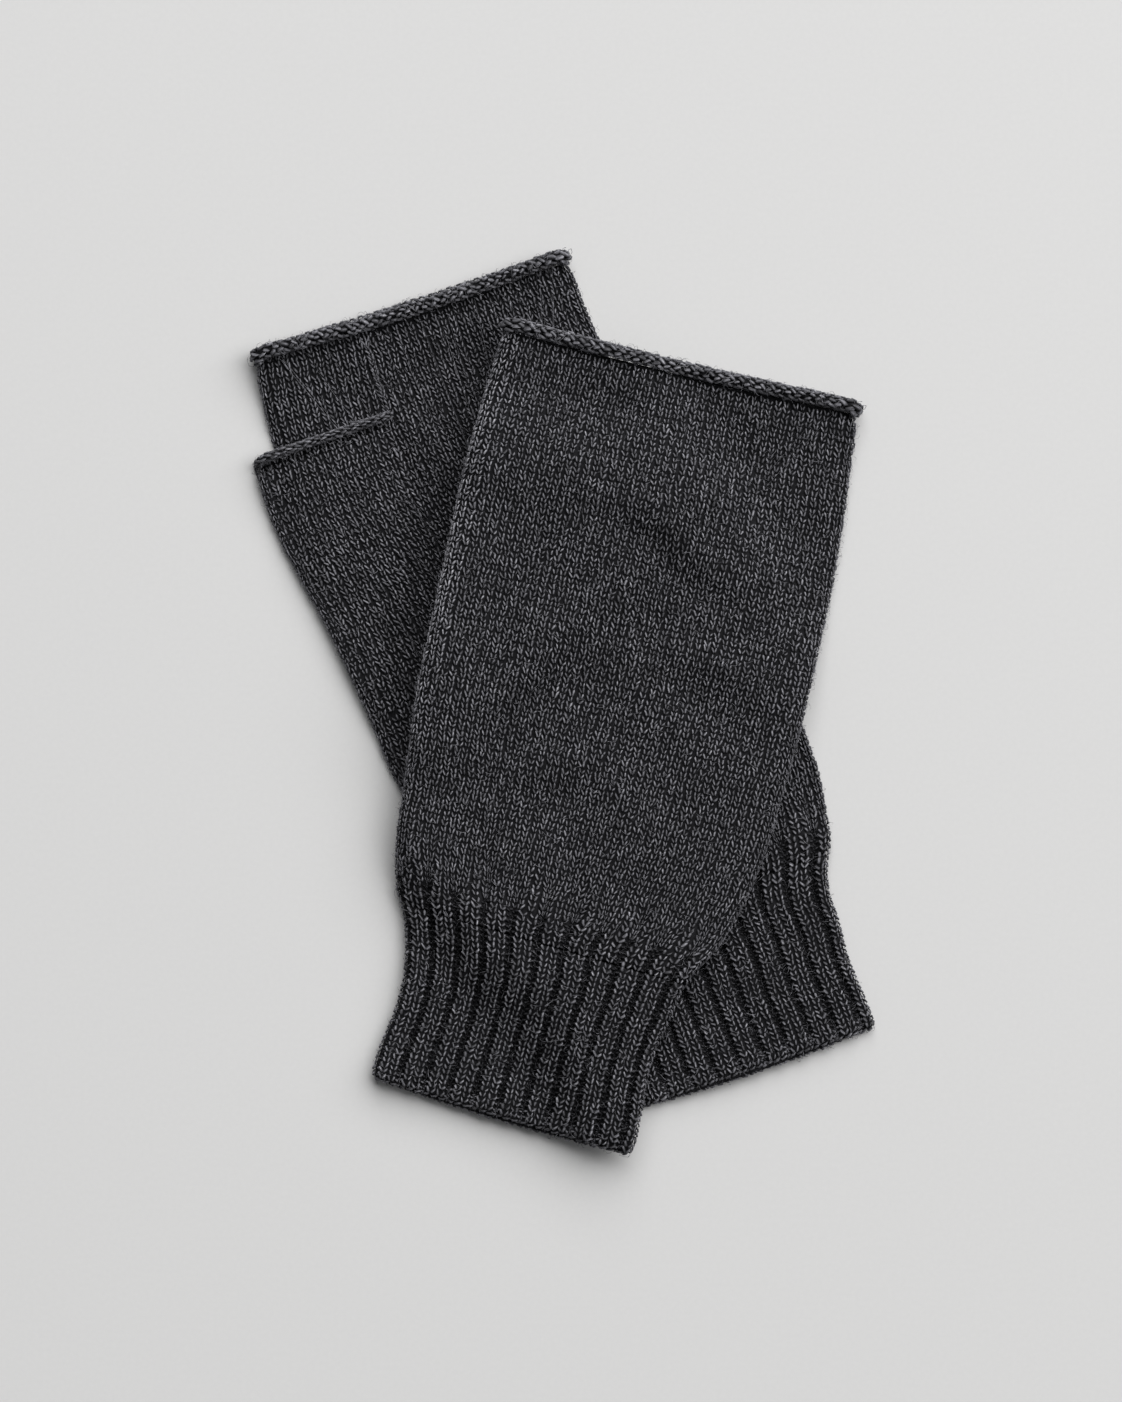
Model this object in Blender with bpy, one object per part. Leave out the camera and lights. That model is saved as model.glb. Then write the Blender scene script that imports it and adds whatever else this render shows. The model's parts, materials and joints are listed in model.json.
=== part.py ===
"""A pair of fingerless knit mitts in charcoal wool, laid flat, one across the other.

Each mitt is a seamless tube: a 2x2 ribbed cuff, a plain-knit hand, a thumb, and cast-off edges that
roll outwards.  The lower mitt lies on the surface with its thumb on its palm.  The upper one is draped
over it, with its own thumb folded under its palm.  All sizes are in millimetres.  Each mitt is modelled
in its own frame, with X across and Y from the cuff's hem to the fingers, and an empty places it in the
pair's frame, whose origin is on the surface under the middle of the pair, with +Z up.
"""

from collections import namedtuple
from math import cos, radians, sin, tau

import bmesh
import bpy
import numpy as np

MM = 0.001

# Charcoal wool, darker where the knit shades itself
PLAIN_KNIT = (0.036, 0.036, 0.041)
RIB_KNIT = (0.028, 0.028, 0.032)
ROLLED_EDGE = (0.022, 0.022, 0.026)

# The knit
WALL = 1.7  # one layer of the cloth
HALF = 2.0  # half of a tube that lies flat: one layer and half of the air inside
PRESSED_WALL, PRESSED_HALF = 1.3, 1.5  # the upper mitt's thumb, pressed under its palm
SEAM = 0.3  # left between pieces that are knitted together
CLEAR = 0.7  # between one mitt and what it lies on

# The ribbed cuff
CUFF = 47.0
RIBS = 11  # on each face
CROWN = 0.72  # of a rib's width; the rest is the sunk groove
RIB_DEPTH = 0.5
RIBS_FADE = 9.0  # the length at the cuff's top over which the ribs soften
CUFF_ROWS = (4.0, 13.0, 22.0, 30.0, 38.0, 42.5)
THUMB_ROWS = 9
HEM_REACH, EDGE_REACH = 14.0, 40.0  # the lengths that the hem's drop and the finger edge's dip take

# The rolled edges
FINGER_ROLL, THUMB_ROLL, PRESSED_ROLL = 1.8, 1.4, 1.0  # radii
ROLL_TUCK = 1.0  # how much further in than the tube the roll turns at a side fold
ROLL_SIDES = 8
CLIMB_REACH = 14.0  # the length over which a tube climbs onto its own roll

# How cloth bridges the step beside what it lies on
BRIDGE, SLOPE = 3.0, 17.0

Rung = namedtuple("Rung", "along left right lean")
Bulk = namedtuple("Bulk", "along height")
Spot = namedtuple("Spot", "along half rib")
Ring = namedtuple("Ring", "across out up")
Mitt = namedtuple("Mitt", "name place turn")
Tube = namedtuple("Tube", "rungs ground half wall roll hem_drop edge_dip")

# A mitt's sections, from the hem to the finger edge: where one crosses the middle, its left and right
# ends, and how much further along its right end lies than its left
LOWER_HAND = (
    Rung(-1.5, -35.5, 35.4, -4.2),
    Rung(10.0, -34.8, 35.2, -3.8),
    Rung(20.0, -34.6, 35.4, -3.8),
    Rung(30.0, -35.2, 36.0, -3.9),
    Rung(38.0, -36.8, 37.2, -4.0),
    Rung(44.0, -39.6, 39.2, -4.0),
    Rung(50.0, -42.6, 42.6, -4.0),
    Rung(58.0, -44.8, 44.5, -4.1),
    Rung(70.0, -47.6, 46.5, -4.2),
    Rung(84.0, -52.0, 47.1, -4.4),
    Rung(99.6, -56.8, 46.6, -4.6),
    Rung(120.0, -57.4, 44.9, -5.0),
    Rung(150.0, -56.8, 40.9, -5.6),
    Rung(180.0, -54.8, 36.6, -6.2),
    Rung(200.0, -52.7, 35.5, -6.4),
    Rung(219.4, -49.2, 35.6, -6.2),
)
LOWER_THUMB = (
    Rung(118.0, -57.6, -50.5, -1.0),
    Rung(132.0, -57.8, -44.5, -1.2),
    Rung(146.0, -59.0, -36.5, -1.4),
    Rung(160.0, -60.6, -28.5, -1.6),
    Rung(176.0, -61.4, -22.5, -1.8),
    Rung(195.0, -60.0, -20.3, -2.2),
)
UPPER_HAND = (
    Rung(-1.0, -35.6, 35.0, -3.7),
    Rung(10.0, -34.9, 34.4, -3.7),
    Rung(20.0, -33.6, 34.1, -3.6),
    Rung(30.0, -33.4, 34.8, -3.5),
    Rung(38.0, -35.0, 36.4, -3.4),
    Rung(44.0, -37.5, 37.3, -3.2),
    Rung(50.0, -40.8, 39.4, -3.0),
    Rung(58.0, -43.0, 44.2, -2.8),
    Rung(68.0, -44.9, 47.6, -2.5),
    Rung(80.0, -45.9, 49.9, -2.2),
    Rung(100.0, -47.4, 51.3, -1.8),
    Rung(120.0, -48.1, 52.1, -1.4),
    Rung(140.0, -48.6, 51.3, -1.0),
    Rung(160.0, -49.2, 50.5, -0.5),
    Rung(180.0, -48.7, 48.8, -0.2),
    Rung(203.0, -47.4, 46.3, 0.0),
)
UPPER_THUMB = (
    Rung(96.0, -44.5, -37.0, 0.0),
    Rung(110.0, -44.5, -30.0, 0.0),
    Rung(124.0, -43.5, -20.0, 0.0),
    Rung(138.0, -42.0, -10.0, 0.0),
    Rung(152.0, -40.0, -3.0, 0.0),
    Rung(168.0, -38.0, 2.0, 0.0),
)
# How far the folded thumb holds its own palm up, along the mitt
THUMB_BULK = (
    Bulk(96.0, 2.9),
    Bulk(104.0, 3.8),
    Bulk(154.0, 3.9),
    Bulk(162.0, 5.2),
)

LOWER = Mitt("lower", (47.64, -95.12), 22.0)
UPPER = Mitt("upper", (-16.45, -107.47), -13.65)


def smooth(t):
    """0 to 1, level at both ends."""
    t = np.clip(t, 0.0, 1.0)
    return t * t * (3.0 - 2.0 * t)


def rung_ends(rungs, along):
    """The left and right ends of the sections at these places, on smooth curves through the rungs."""
    table = np.array(rungs)
    places, columns = table[:, 0], table[:, 1:]
    slopes = np.gradient(columns, places, axis=0)
    i = np.clip(np.searchsorted(places, along) - 1, 0, len(places) - 2)
    span = (places[i + 1] - places[i])[:, None]
    t = (along - places[i])[:, None] / span
    ends = columns[i] * (1 + 2 * t) * (1 - t) ** 2 + columns[i + 1] * t * t * (3 - 2 * t)
    ends += span * (slopes[i] * t * (1 - t) ** 2 + slopes[i + 1] * t * t * (t - 1))
    left, right, lean = ends.T
    return (
        np.stack([left, along - lean / 2], axis=1),
        np.stack([right, along + lean / 2], axis=1),
    )


def ring(top, bottom, fold_points=3):
    """Places round a flattened tube: along its top face, round a fold, back along the bottom, round."""
    turn = np.linspace(tau / 4, -tau / 4, fold_points + 2)[1:-1]
    side = np.ones(fold_points)
    return Ring(
        across=np.concatenate([top, side, -bottom, -side]),
        out=np.concatenate([0 * top, np.cos(turn), 0 * bottom, -np.cos(turn)]),
        up=np.concatenate([0 * top + 1, np.sin(turn), 0 * bottom - 1, -np.sin(turn)]),
    )


def even_ring(face_points):
    face = np.linspace(-1, 1, face_points)
    return ring(face, face)


def rib_ring(bottom_points):
    """Four places on each rib of the top face: the groove, both shoulders of the crown, its middle."""
    groove = (1 - CROWN) / 2
    phases = [rib + step for rib in range(RIBS) for step in (0.0, groove, 0.5, 1 - groove)]
    top = np.array(phases + [RIBS]) * 2 / RIBS - 1
    return ring(top, np.linspace(-1, 1, bottom_points))


def rib_height(across):
    """1 on a rib's crown and -1 in the middle of a groove."""
    phase = (across + 1) / 2 * RIBS
    return np.where(np.abs(phase - np.round(phase)) < 1e-6, -1.0, 1.0)


def to_pair(mitt, x, y):
    """A mitt's own coordinates, as X and Y in the pair's frame."""
    c, s = cos(radians(mitt.turn)), sin(radians(mitt.turn))
    return mitt.place[0] + c * x - s * y, mitt.place[1] + s * x + c * y


def outline(rungs, steps=40):
    """The closed outline of a piece in its mitt's frame."""
    left, right = rung_ends(rungs, np.linspace(rungs[0].along, rungs[-1].along, steps))
    return np.concatenate([left, right[::-1]])


def outside(x, y, edge):
    """How far points lie outside a closed outline; negative inside it."""
    p = np.stack([x.ravel(), y.ravel()], axis=1)[:, None, :]
    a, b = edge[None], np.roll(edge, -1, axis=0)[None]
    t = np.clip(((p - a) * (b - a)).sum(-1) / ((b - a) ** 2).sum(-1), 0, 1)
    gap = np.linalg.norm(p - a - t[..., None] * (b - a), axis=-1).min(axis=1)
    spans = (a[..., 1] > p[..., 1]) != (b[..., 1] > p[..., 1])
    rise = np.where(b[..., 1] == a[..., 1], 1.0, b[..., 1] - a[..., 1])
    crossing = a[..., 0] + (b[..., 0] - a[..., 0]) * (p[..., 1] - a[..., 1]) / rise
    inside = (spans & (p[..., 0] < crossing)).sum(axis=1) % 2 == 1
    return np.where(inside, -gap, gap).reshape(x.shape)


def drape(distance):
    """1 over a thing and just past its edge, falling softly to 0 on the surface beside it."""
    return 1.0 - smooth((distance - BRIDGE) / SLOPE)


def on_surface(x, y):
    return np.zeros_like(x)


def on_lower_palm(x, y):
    """The lower thumb lies on its own palm and sags past the palm's edge."""
    return (2 * HALF + SEAM) * drape(outside(x, y, outline(LOWER_HAND)))


def on_lower_mitt(x, y):
    """The upper mitt lies over the lower one, and on the surface where it has passed its edge."""
    edge = np.stack(to_pair(LOWER, *outline(LOWER_HAND).T), axis=1)
    return (2 * HALF + CLEAR) * drape(outside(*to_pair(UPPER, x, y), edge))


def on_folded_thumb(x, y):
    """The upper hand lies on the lower mitt and on its own folded thumb."""
    height = np.interp(y, *np.array(THUMB_BULK).T)
    return on_lower_mitt(x, y) + height * drape(outside(x, y, outline(UPPER_THUMB)))


def wall_profile(tube, places, rib=None):
    """A wall seen end on: up its outer face, and back down its plain inner one."""
    outer = [Spot(along, tube.half, rib(along) if rib else 0.0) for along in places]
    return outer + [Spot(spot.along, tube.half - tube.wall, 0.0) for spot in reversed(outer)]


def thumb_profile(tube, places):
    """A wall that starts as a thin lip where the thumb grows out of the palm."""
    lip = Spot(places[0], 0.3 * tube.half, 0.0)
    shoulder = Spot(places[0] + 3.0, 0.7 * tube.half, 0.0)
    return [lip, shoulder] + wall_profile(tube, places)[1:-1]


def roll_profile(tube):
    """The round section of a tube's edge, rolled outwards, whose far side is at the tube's end."""
    reach = tube.half - tube.wall + tube.roll
    turns = [side * tau / ROLL_SIDES for side in range(ROLL_SIDES)]
    middle = tube.rungs[-1].along - tube.roll
    return [
        Spot(middle + tube.roll * sin(turn), reach + tube.roll * cos(turn), 0.0)
        for turn in turns
    ]


def rib(along):
    """How far a rib stands out of the cuff's face, and its groove lies in it."""
    return RIB_DEPTH / 2 * (1 - 0.7 * float(smooth((along - CUFF) / RIBS_FADE + 1)))


def sweep(tube, profile, places, tuck=0.0):
    """A profile swept round a tube that lies flat on its ground, as a grid of points."""
    along, depth, ribs = np.array(profile).T
    left, right = rung_ends(tube.rungs, along)
    middle, way = (left + right) / 2, right - left
    reach = np.linalg.norm(way, axis=1) / 2
    way = way / (2 * reach[:, None])
    across, out, up = (column[None, :] for column in places)
    aside = (reach - tube.half - tuck)[:, None] * across + depth[:, None] * out
    x = middle[:, :1] + way[:, :1] * aside
    y = middle[:, 1:] + way[:, 1:] * aside

    end = tube.rungs[-1].along
    drop = tube.hem_drop * (1 - smooth(along / HEM_REACH))[:, None] * np.maximum(-up, 0)
    dip = tube.edge_dip * smooth((along - end) / EDGE_REACH + 1)[:, None]
    y = y - (drop + dip) * (1 - across**2)

    climb = 2 * (tube.half + tube.roll) - tube.wall - 2 * tube.half
    climbed = climb * smooth((along - end + 2 * tube.roll) / CLIMB_REACH + 1)[:, None]
    ribbed = ribs[:, None] * rib_height(across) * (up == 1)
    z = tube.ground(x, y) + tube.half + climbed + (depth[:, None] + ribbed) * up
    return np.stack([x, y, z], axis=-1)


def wool(name, colour):
    """Charcoal wool in the hand: dark, dry and matt."""
    material = bpy.data.materials.new(name)
    material.use_nodes = True
    shader = material.node_tree.nodes["Principled BSDF"]
    shader.inputs["Base Color"].default_value = (*colour, 1.0)
    shader.inputs["Roughness"].default_value = 0.95
    shader.inputs["Metallic"].default_value = 0.0
    return material


def closed_solid(name, points, material, parent, collection):
    """A solid from a grid of points that closes on itself both ways."""
    mesh = bmesh.new()
    grid = [[mesh.verts.new(point) for point in row] for row in points * MM]
    for row, above in zip(grid, grid[1:] + grid[:1]):
        for here, there in zip(range(len(row)), range(1 - len(row), 1)):
            mesh.faces.new((row[here], row[there], above[there], above[here]))
    bmesh.ops.recalc_face_normals(mesh, faces=mesh.faces)
    data = bpy.data.meshes.new(name)
    mesh.to_mesh(data)
    mesh.free()
    data.shade_smooth()
    data.set_sharp_from_angle(angle=radians(50))
    data.materials.append(material)
    piece = bpy.data.objects.new(name, data)
    piece.parent = parent
    collection.objects.link(piece)


def knit(mitt, hand, thumb, hand_rows, face_points, collection):
    """The five pieces of one mitt, in its own frame, under an empty that places it."""
    empty = bpy.data.objects.new(f"{mitt.name}_mitt", None)
    empty.location = (mitt.place[0] * MM, mitt.place[1] * MM, 0)
    empty.rotation_euler = (0, 0, radians(mitt.turn))
    collection.objects.link(empty)

    def add(piece, colour, points):
        name = f"{mitt.name}_{piece}"
        closed_solid(name, points, wool(name, colour), empty, collection)

    cuff_rows = (hand.rungs[0].along, *CUFF_ROWS, CUFF - SEAM / 2)
    add("cuff", RIB_KNIT, sweep(hand, wall_profile(hand, cuff_rows, rib), rib_ring(16)))

    last = hand.rungs[-1].along - 2 * hand.roll - SEAM
    rows = np.linspace(CUFF + SEAM / 2, last, hand_rows)
    add("hand", PLAIN_KNIT, sweep(hand, wall_profile(hand, rows), even_ring(face_points)))
    add("finger_roll", ROLLED_EDGE, sweep(hand, roll_profile(hand), even_ring(18), ROLL_TUCK))

    last = thumb.rungs[-1].along - 2 * thumb.roll - SEAM
    rows = np.linspace(thumb.rungs[0].along, last, THUMB_ROWS)
    add("thumb", PLAIN_KNIT, sweep(thumb, thumb_profile(thumb, rows), even_ring(9)))
    add("thumb_roll", ROLLED_EDGE, sweep(thumb, roll_profile(thumb), even_ring(9), ROLL_TUCK))


for old in list(bpy.data.objects):
    bpy.data.objects.remove(old)
pair = bpy.data.collections.new("Arm warmers")
bpy.context.scene.collection.children.link(pair)
knit(
    LOWER,
    Tube(LOWER_HAND, on_surface, HALF, WALL, FINGER_ROLL, hem_drop=1.2, edge_dip=0.0),
    Tube(LOWER_THUMB, on_lower_palm, HALF, WALL, THUMB_ROLL, hem_drop=0.0, edge_dip=0.0),
    hand_rows=16,
    face_points=15,
    collection=pair,
)
knit(
    UPPER,
    Tube(UPPER_HAND, on_folded_thumb, HALF, WALL, FINGER_ROLL, hem_drop=1.8, edge_dip=0.9),
    Tube(UPPER_THUMB, on_lower_mitt, PRESSED_HALF, PRESSED_WALL, PRESSED_ROLL, 0.0, 0.0),
    hand_rows=26,
    face_points=28,
    collection=pair,
)
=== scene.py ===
"""The looks of a pair of fingerless knit mitts in charcoal wool, laid flat, one across the other.

Each stretch of cloth is a thin closed shell on its solid's form, and its stitches are modelled strands
of yarn, laid on that form wale by wale and course by course.  A wale is a column of stitches and a
course is a row.  All sizes are in millimetres until a mesh is made.  Each mitt is worked out in its own
frame, with X across and Y from the cuff's hem to the fingers, and then placed in the pair's frame.
"""

import json
from collections import namedtuple
from functools import partial
from math import cos, pi, radians, sin, tau

import bpy
import numpy as np
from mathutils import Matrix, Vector

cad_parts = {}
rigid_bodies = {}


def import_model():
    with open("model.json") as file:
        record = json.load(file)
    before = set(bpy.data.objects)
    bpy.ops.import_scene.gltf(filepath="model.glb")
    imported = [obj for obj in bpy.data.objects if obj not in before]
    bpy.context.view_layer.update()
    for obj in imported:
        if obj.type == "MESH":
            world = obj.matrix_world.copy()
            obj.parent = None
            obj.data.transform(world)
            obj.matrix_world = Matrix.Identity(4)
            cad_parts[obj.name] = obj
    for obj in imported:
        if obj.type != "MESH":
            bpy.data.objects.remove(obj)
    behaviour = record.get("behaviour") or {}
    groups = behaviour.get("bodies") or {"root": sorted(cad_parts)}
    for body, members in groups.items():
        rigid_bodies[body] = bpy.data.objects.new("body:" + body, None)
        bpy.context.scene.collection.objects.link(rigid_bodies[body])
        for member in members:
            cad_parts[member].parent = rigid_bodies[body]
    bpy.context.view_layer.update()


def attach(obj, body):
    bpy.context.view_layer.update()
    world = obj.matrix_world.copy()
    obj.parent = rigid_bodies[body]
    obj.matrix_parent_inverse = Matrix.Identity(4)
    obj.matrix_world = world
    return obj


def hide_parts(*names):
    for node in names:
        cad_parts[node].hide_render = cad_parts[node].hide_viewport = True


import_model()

MM = 0.001

# The cloth, as in the solids
WALL = 1.7  # one layer
HALF = 2.0  # half of a tube that lies flat
PRESSED_WALL, PRESSED_HALF = 1.3, 1.5  # the upper mitt's thumb, pressed under its palm
SEAM = 0.3  # the gap between two solids that meet
CLEAR = 0.7  # and between the two mitts
CUFF = 47.0
HEM_REACH, EDGE_REACH = 14.0, 40.0  # how far from either end of a tube its middle still bows
FINGER_ROLL, THUMB_ROLL, PRESSED_ROLL = 1.8, 1.15, 1.0  # radii
ROLL_TUCK = 1.0  # how far a rolled edge's folds draw in
CLIMB_REACH = 14.0  # how far below its rolled edge the cloth starts to climb onto it
BRIDGE, SLOPE = 3.0, 17.0  # cloth comes down from this far past an edge under it, over this length
THUMB_SAG = (-6.0, 12.0)  # the same for the lower thumb, which comes down well within the palm's edge

# How it lies
OFF_SURFACE = 0.02  # how far the lowest cloth stays above the surface
LIFT = 0.8  # how much further the upper mitt lies above the lower one than its solid
FULLER = 0.12  # how much wider a mitt's stitches lie than its solid, on either side
LOWER_LOFT, LOWER_CUFF_LOFT = 0.7, 0.88  # how much of their thickness the lower hand and its cuff keep
CUFF_LOFT, LOFT_REACH = 0.25, 18.0  # how much thicker the upper cuff lies, and over what length that goes
THUMB_PRESS = 0.6  # how much of its thickness the lower palm keeps under its thumb
PRESS_REACH = 12.0  # how soon it is back to its own thickness past the thumb's end
THUMB_SINK = 1.2  # how deep the thumb lies in the palm where it grows out of it
RIM_LIFT, RIM_INNER, RIM_REACH = 3.4, -30.0, 14.0  # the upper's left edge stands up over its folded thumb
RIM_MIDDLE, RIM_HALF = 158.0, 58.0  # along that stretch of it
HEM_CURL, HEM_CURL_REACH = 1.6, 2.4  # how far the back of a cuff's hem turns up, past the front
HEM_GAPE = 0.6  # how far a cuff stands open at its hem
HEM_ROUND, HEM_CORNER = 1.6, 3.6  # how far its corners draw in, and over what length
CREASE_SWING, CREASE_SWING_REACH = 2.5, 9.0  # no crease runs straight: how far it swings, and how slowly
FOLD_INSET, FOLD_REACH, FOLD_DEPTH = 0.5, 0.8, 0.8  # the line that runs just inside a tube's fold
CREVICE, CREVICE_REACH = 1.2, 3.2  # how deep the face sinks beside a rolled edge, and from how far below it
THUMB_CREVICE = 1.9  # how deep it sinks beside the lower thumb's
KNOB, KNOB_REACH, KNOB_DROOP = 0.35, 3.0, 0.9  # a rolled edge is thicker at its folds, and turns down there

# The knit
WALES = 92  # round a mitt's hand
CUFF_WALES = 88  # round its cuff
FINGER_WALES = 83  # round the lower mitt above its thumb
THUMB_WALES = 38
FACE_WALES, BACK_WALES = 50, 42  # across a hand's face, with two beyond either fold, and across its back
WALE = 2.2  # the width of a stitch in plain knit
COURSE = 1.42  # the height of a course
CUFF_COURSES = 37  # the ribs run a little way up into the hand
BED = 0.6  # how deep in the cloth the strands of its face lie
BACKING = 0.25  # from there to the face of the shell behind them
PATTERNS = 6  # versions of each stitch
MAP_SPAN = 256.0  # wales, or courses, to one unit of the guides' UV map
PAINTED_HIGHLIGHT, PAINTED_HIGHLIGHT_TO = 0.68, 3.2  # how much paler the upper hand's left fold is painted, as a painted highlight, and up to which wale
PAINTED_HIGHLIGHT_MIDDLE, PAINTED_HIGHLIGHT_HALF = 152.0, 62.0  # along this stretch of it
TUCKED = 10.0  # how far in under the other mitt a face still has stitches; past that it keeps its shell

# The ribs
RIB, RIB_WIDTH = 4, 6.6  # wales in a rib, two knit and two purl, and its width laid flat
RIB_PLACES = (0.0, 0.37, 0.74, 0.87, 1.0)  # where its wales begin, as shares of the rib
RIBS_FROM = 1.6  # wales from a tube's left fold to its first rib
GROOVE = 0.87  # the middle of the groove, as a share of the rib
GROOVE_FLOOR, GROOVE_REACH = 0.06, 0.18  # half of its width at the bottom and at the top, as such shares
GROOVE_DEPTH = 1.6
CROWN_RISE = 0.3
VALLEY, VALLEY_DEPTH, VALLEY_REACH = 0.37, 0.3, 0.08  # between a crown's two wales
RELIEF_SHARES = (0.2, 0.75, 1.0)  # of that relief: at a wall's inner face, at its shell and at its stitches
RIBS_FADE_FROM, RIBS_FADE_TO = 50.0, 64.0
RIBS_UNEVEN = 4.0  # how much further up some ribs reach
RIBS_AT_HEM, RIBS_START = 0.35, 3.5  # how far they stand out at the hem, and how far above it in full
HEM_BAND = 2  # courses at the hem before the furrows begin

# The rolled edges
ROLL_SPREAD = 1.3  # how much wider than a wale their bumps lie
ROLL_COURSE = 76.0  # degrees of the roll that one course takes
ROLL_BED = 0.65  # how deep in a roll the strands of its face lie
ROLL_TURN = 520  # degrees that the edge has curled
ROLL_THIN = 0.42  # how much closer its inner end lies, and its thickness here, as shares of its radius
ROLL_CLOTH = 0.22

Rung = namedtuple("Rung", "along left right lean")
Bulk = namedtuple("Bulk", "along height")
Crease = namedtuple("Crease", "x y turn long wide deep")
Mitt = namedtuple("Mitt", "name place turn creases seed")
Tube = namedtuple(
    "Tube",
    "mitt rungs ground half wall roll wales thin hem_drop edge_dip peek knobs",
    defaults=(HALF, WALL, FINGER_ROLL, WALES, None, 0.0, 0.0, 0.0, (0.0, 0.0)),
)
Row = namedtuple("Row", "course along depth")

LOWER_HAND = (
    Rung(0.1, -35.5, 35.6, -4.2),
    Rung(10.0, -34.8, 35.4, -3.8),
    Rung(20.0, -34.6, 35.4, -3.8),
    Rung(30.0, -35.2, 36.7, -3.9),
    Rung(38.0, -36.8, 37.2, -4.0),
    Rung(44.0, -39.6, 39.2, -4.0),
    Rung(50.0, -42.6, 42.6, -4.0),
    Rung(58.0, -44.8, 44.7, -4.1),
    Rung(70.0, -47.6, 46.8, -4.2),
    Rung(84.0, -52.0, 47.1, -4.4),
    Rung(99.6, -56.3, 46.6, -4.6),
    Rung(120.0, -57.1, 44.9, -5.0),
    Rung(150.0, -56.8, 40.9, -5.6),
    Rung(180.0, -54.8, 36.6, -6.2),
    Rung(200.0, -52.7, 35.5, -6.4),
    Rung(219.5, -49.2, 35.8, -6.0),
)
# The lower palm together with its thumb: one continuous face of knit
LOWER_PALM = LOWER_HAND[:11] + (
    Rung(118.0, -56.9, 45.1, -5.0),
    Rung(132.0, -57.5, 43.5, -5.2),
    Rung(146.0, -58.4, 41.5, -5.5),
    Rung(160.0, -60.1, 39.4, -5.7),
    Rung(176.0, -61.2, 37.1, -6.0),
    Rung(195.0, -60.0, 35.7, -5.2),
    Rung(219.5, -59.0, 35.8, -6.0),
)
LOWER_THUMB = (
    Rung(118.0, -57.2, -50.5, -1.0),
    Rung(132.0, -57.3, -44.5, -1.2),
    Rung(146.0, -58.3, -36.5, -1.4),
    Rung(160.0, -60.1, -28.5, -1.6),
    Rung(176.0, -61.2, -22.5, -1.8),
    Rung(195.0, -60.0, -21.0, -2.2),
)
UPPER_HAND = (
    Rung(0.5, -35.6, 35.2, -3.7),
    Rung(10.0, -34.9, 35.1, -3.7),
    Rung(20.0, -33.4, 34.3, -3.6),
    Rung(30.0, -33.4, 34.8, -3.5),
    Rung(38.0, -35.0, 36.4, -3.4),
    Rung(44.0, -37.0, 37.3, -3.2),
    Rung(50.0, -40.1, 39.4, -3.0),
    Rung(58.0, -42.6, 44.2, -2.8),
    Rung(68.0, -44.3, 47.6, -2.5),
    Rung(80.0, -45.3, 49.9, -2.2),
    Rung(100.0, -47.4, 51.2, -1.8),
    Rung(120.0, -48.1, 51.8, -1.4),
    Rung(140.0, -48.6, 51.6, -1.0),
    Rung(160.0, -49.2, 50.9, -0.5),
    Rung(180.0, -48.7, 49.1, 0.0),
    Rung(203.2, -47.4, 46.6, 0.6),
)
UPPER_THUMB = (
    Rung(96.0, -44.5, -37.0, 0.0),
    Rung(110.0, -44.5, -30.0, 0.0),
    Rung(124.0, -43.5, -20.0, 0.0),
    Rung(138.0, -42.0, -10.0, 0.0),
    Rung(152.0, -40.0, -3.0, 0.0),
    Rung(168.0, -38.0, 2.0, 0.0),
)
THUMB_BULK = (
    Bulk(96.0, 2.9),
    Bulk(104.0, 3.8),
    Bulk(154.0, 3.9),
    Bulk(162.0, 5.2),
)
THUMB_FROM = LOWER_THUMB[0].along
THUMB_FACE_END = LOWER_THUMB[-1].along - 2 * THUMB_ROLL
THUMB_SIDE = 18  # the wale of the lower palm at the crotch of the thumb
FINGERS_FROM = 184.0  # past the thumb's end, the fingers' side shows instead of the palm's left part
FINGERS_PLACE = dict(columns=17, rows=24, first_wale=-2, first_course=129, where="shown")
THUMB_BLEND = (3.0, 11.0)  # the thumb's face comes down to the palm from this far past its edge, over this
THUMB_ROOT = (108.0, 27.0)  # where it starts to rise along the palm, and over what length
CROTCH_FALL = 4.0  # how soon the palm comes down again past the thumb's end
CROTCH, CROTCH_HOLE = (-20.8, 192.0), 1.25  # where the thumb's opening ends, and how far the knit parts

# The creases of each mitt's face, in its own frame: ridges, or troughs where deep is negative
UPPER_CREASES = (
    Crease(9.0, 150.0, -37.0, 28.0, 4.2, -1.5),
    Crease(15.0, 157.0, -37.0, 30.0, 4.2, 1.8),
    Crease(-17.0, 113.0, 56.0, 29.0, 4.0, -1.5),
    Crease(-22.0, 117.0, 56.0, 26.0, 4.0, 1.5),
    Crease(24.0, 127.0, -3.0, 26.0, 4.0, 1.8),
    Crease(26.0, 117.5, -13.0, 27.0, 4.0, -1.5),
    Crease(-3.0, 84.0, 30.0, 18.0, 5.0, -1.5),
    Crease(-12.0, 93.0, 50.0, 18.0, 4.0, 1.2),
    Crease(16.0, 78.0, 70.0, 20.0, 5.0, 1.4),
    Crease(-24.0, 64.0, 80.0, 22.0, 2.6, -1.3),
    Crease(2.0, 64.0, 95.0, 24.0, 2.6, -1.3),
    Crease(24.0, 66.0, 100.0, 20.0, 2.6, -1.1),
    Crease(-5.0, 167.0, 4.0, 50.0, 4.0, 0.9),
    Crease(-12.0, 176.0, 12.0, 34.0, 2.2, -0.6),
    Crease(22.0, 181.0, -6.0, 30.0, 2.2, -0.6),
    Crease(-6.0, 158.0, 6.0, 36.0, 2.2, -0.6),
    Crease(-30.0, 140.0, 75.0, 30.0, 3.6, -1.1),
)
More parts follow.
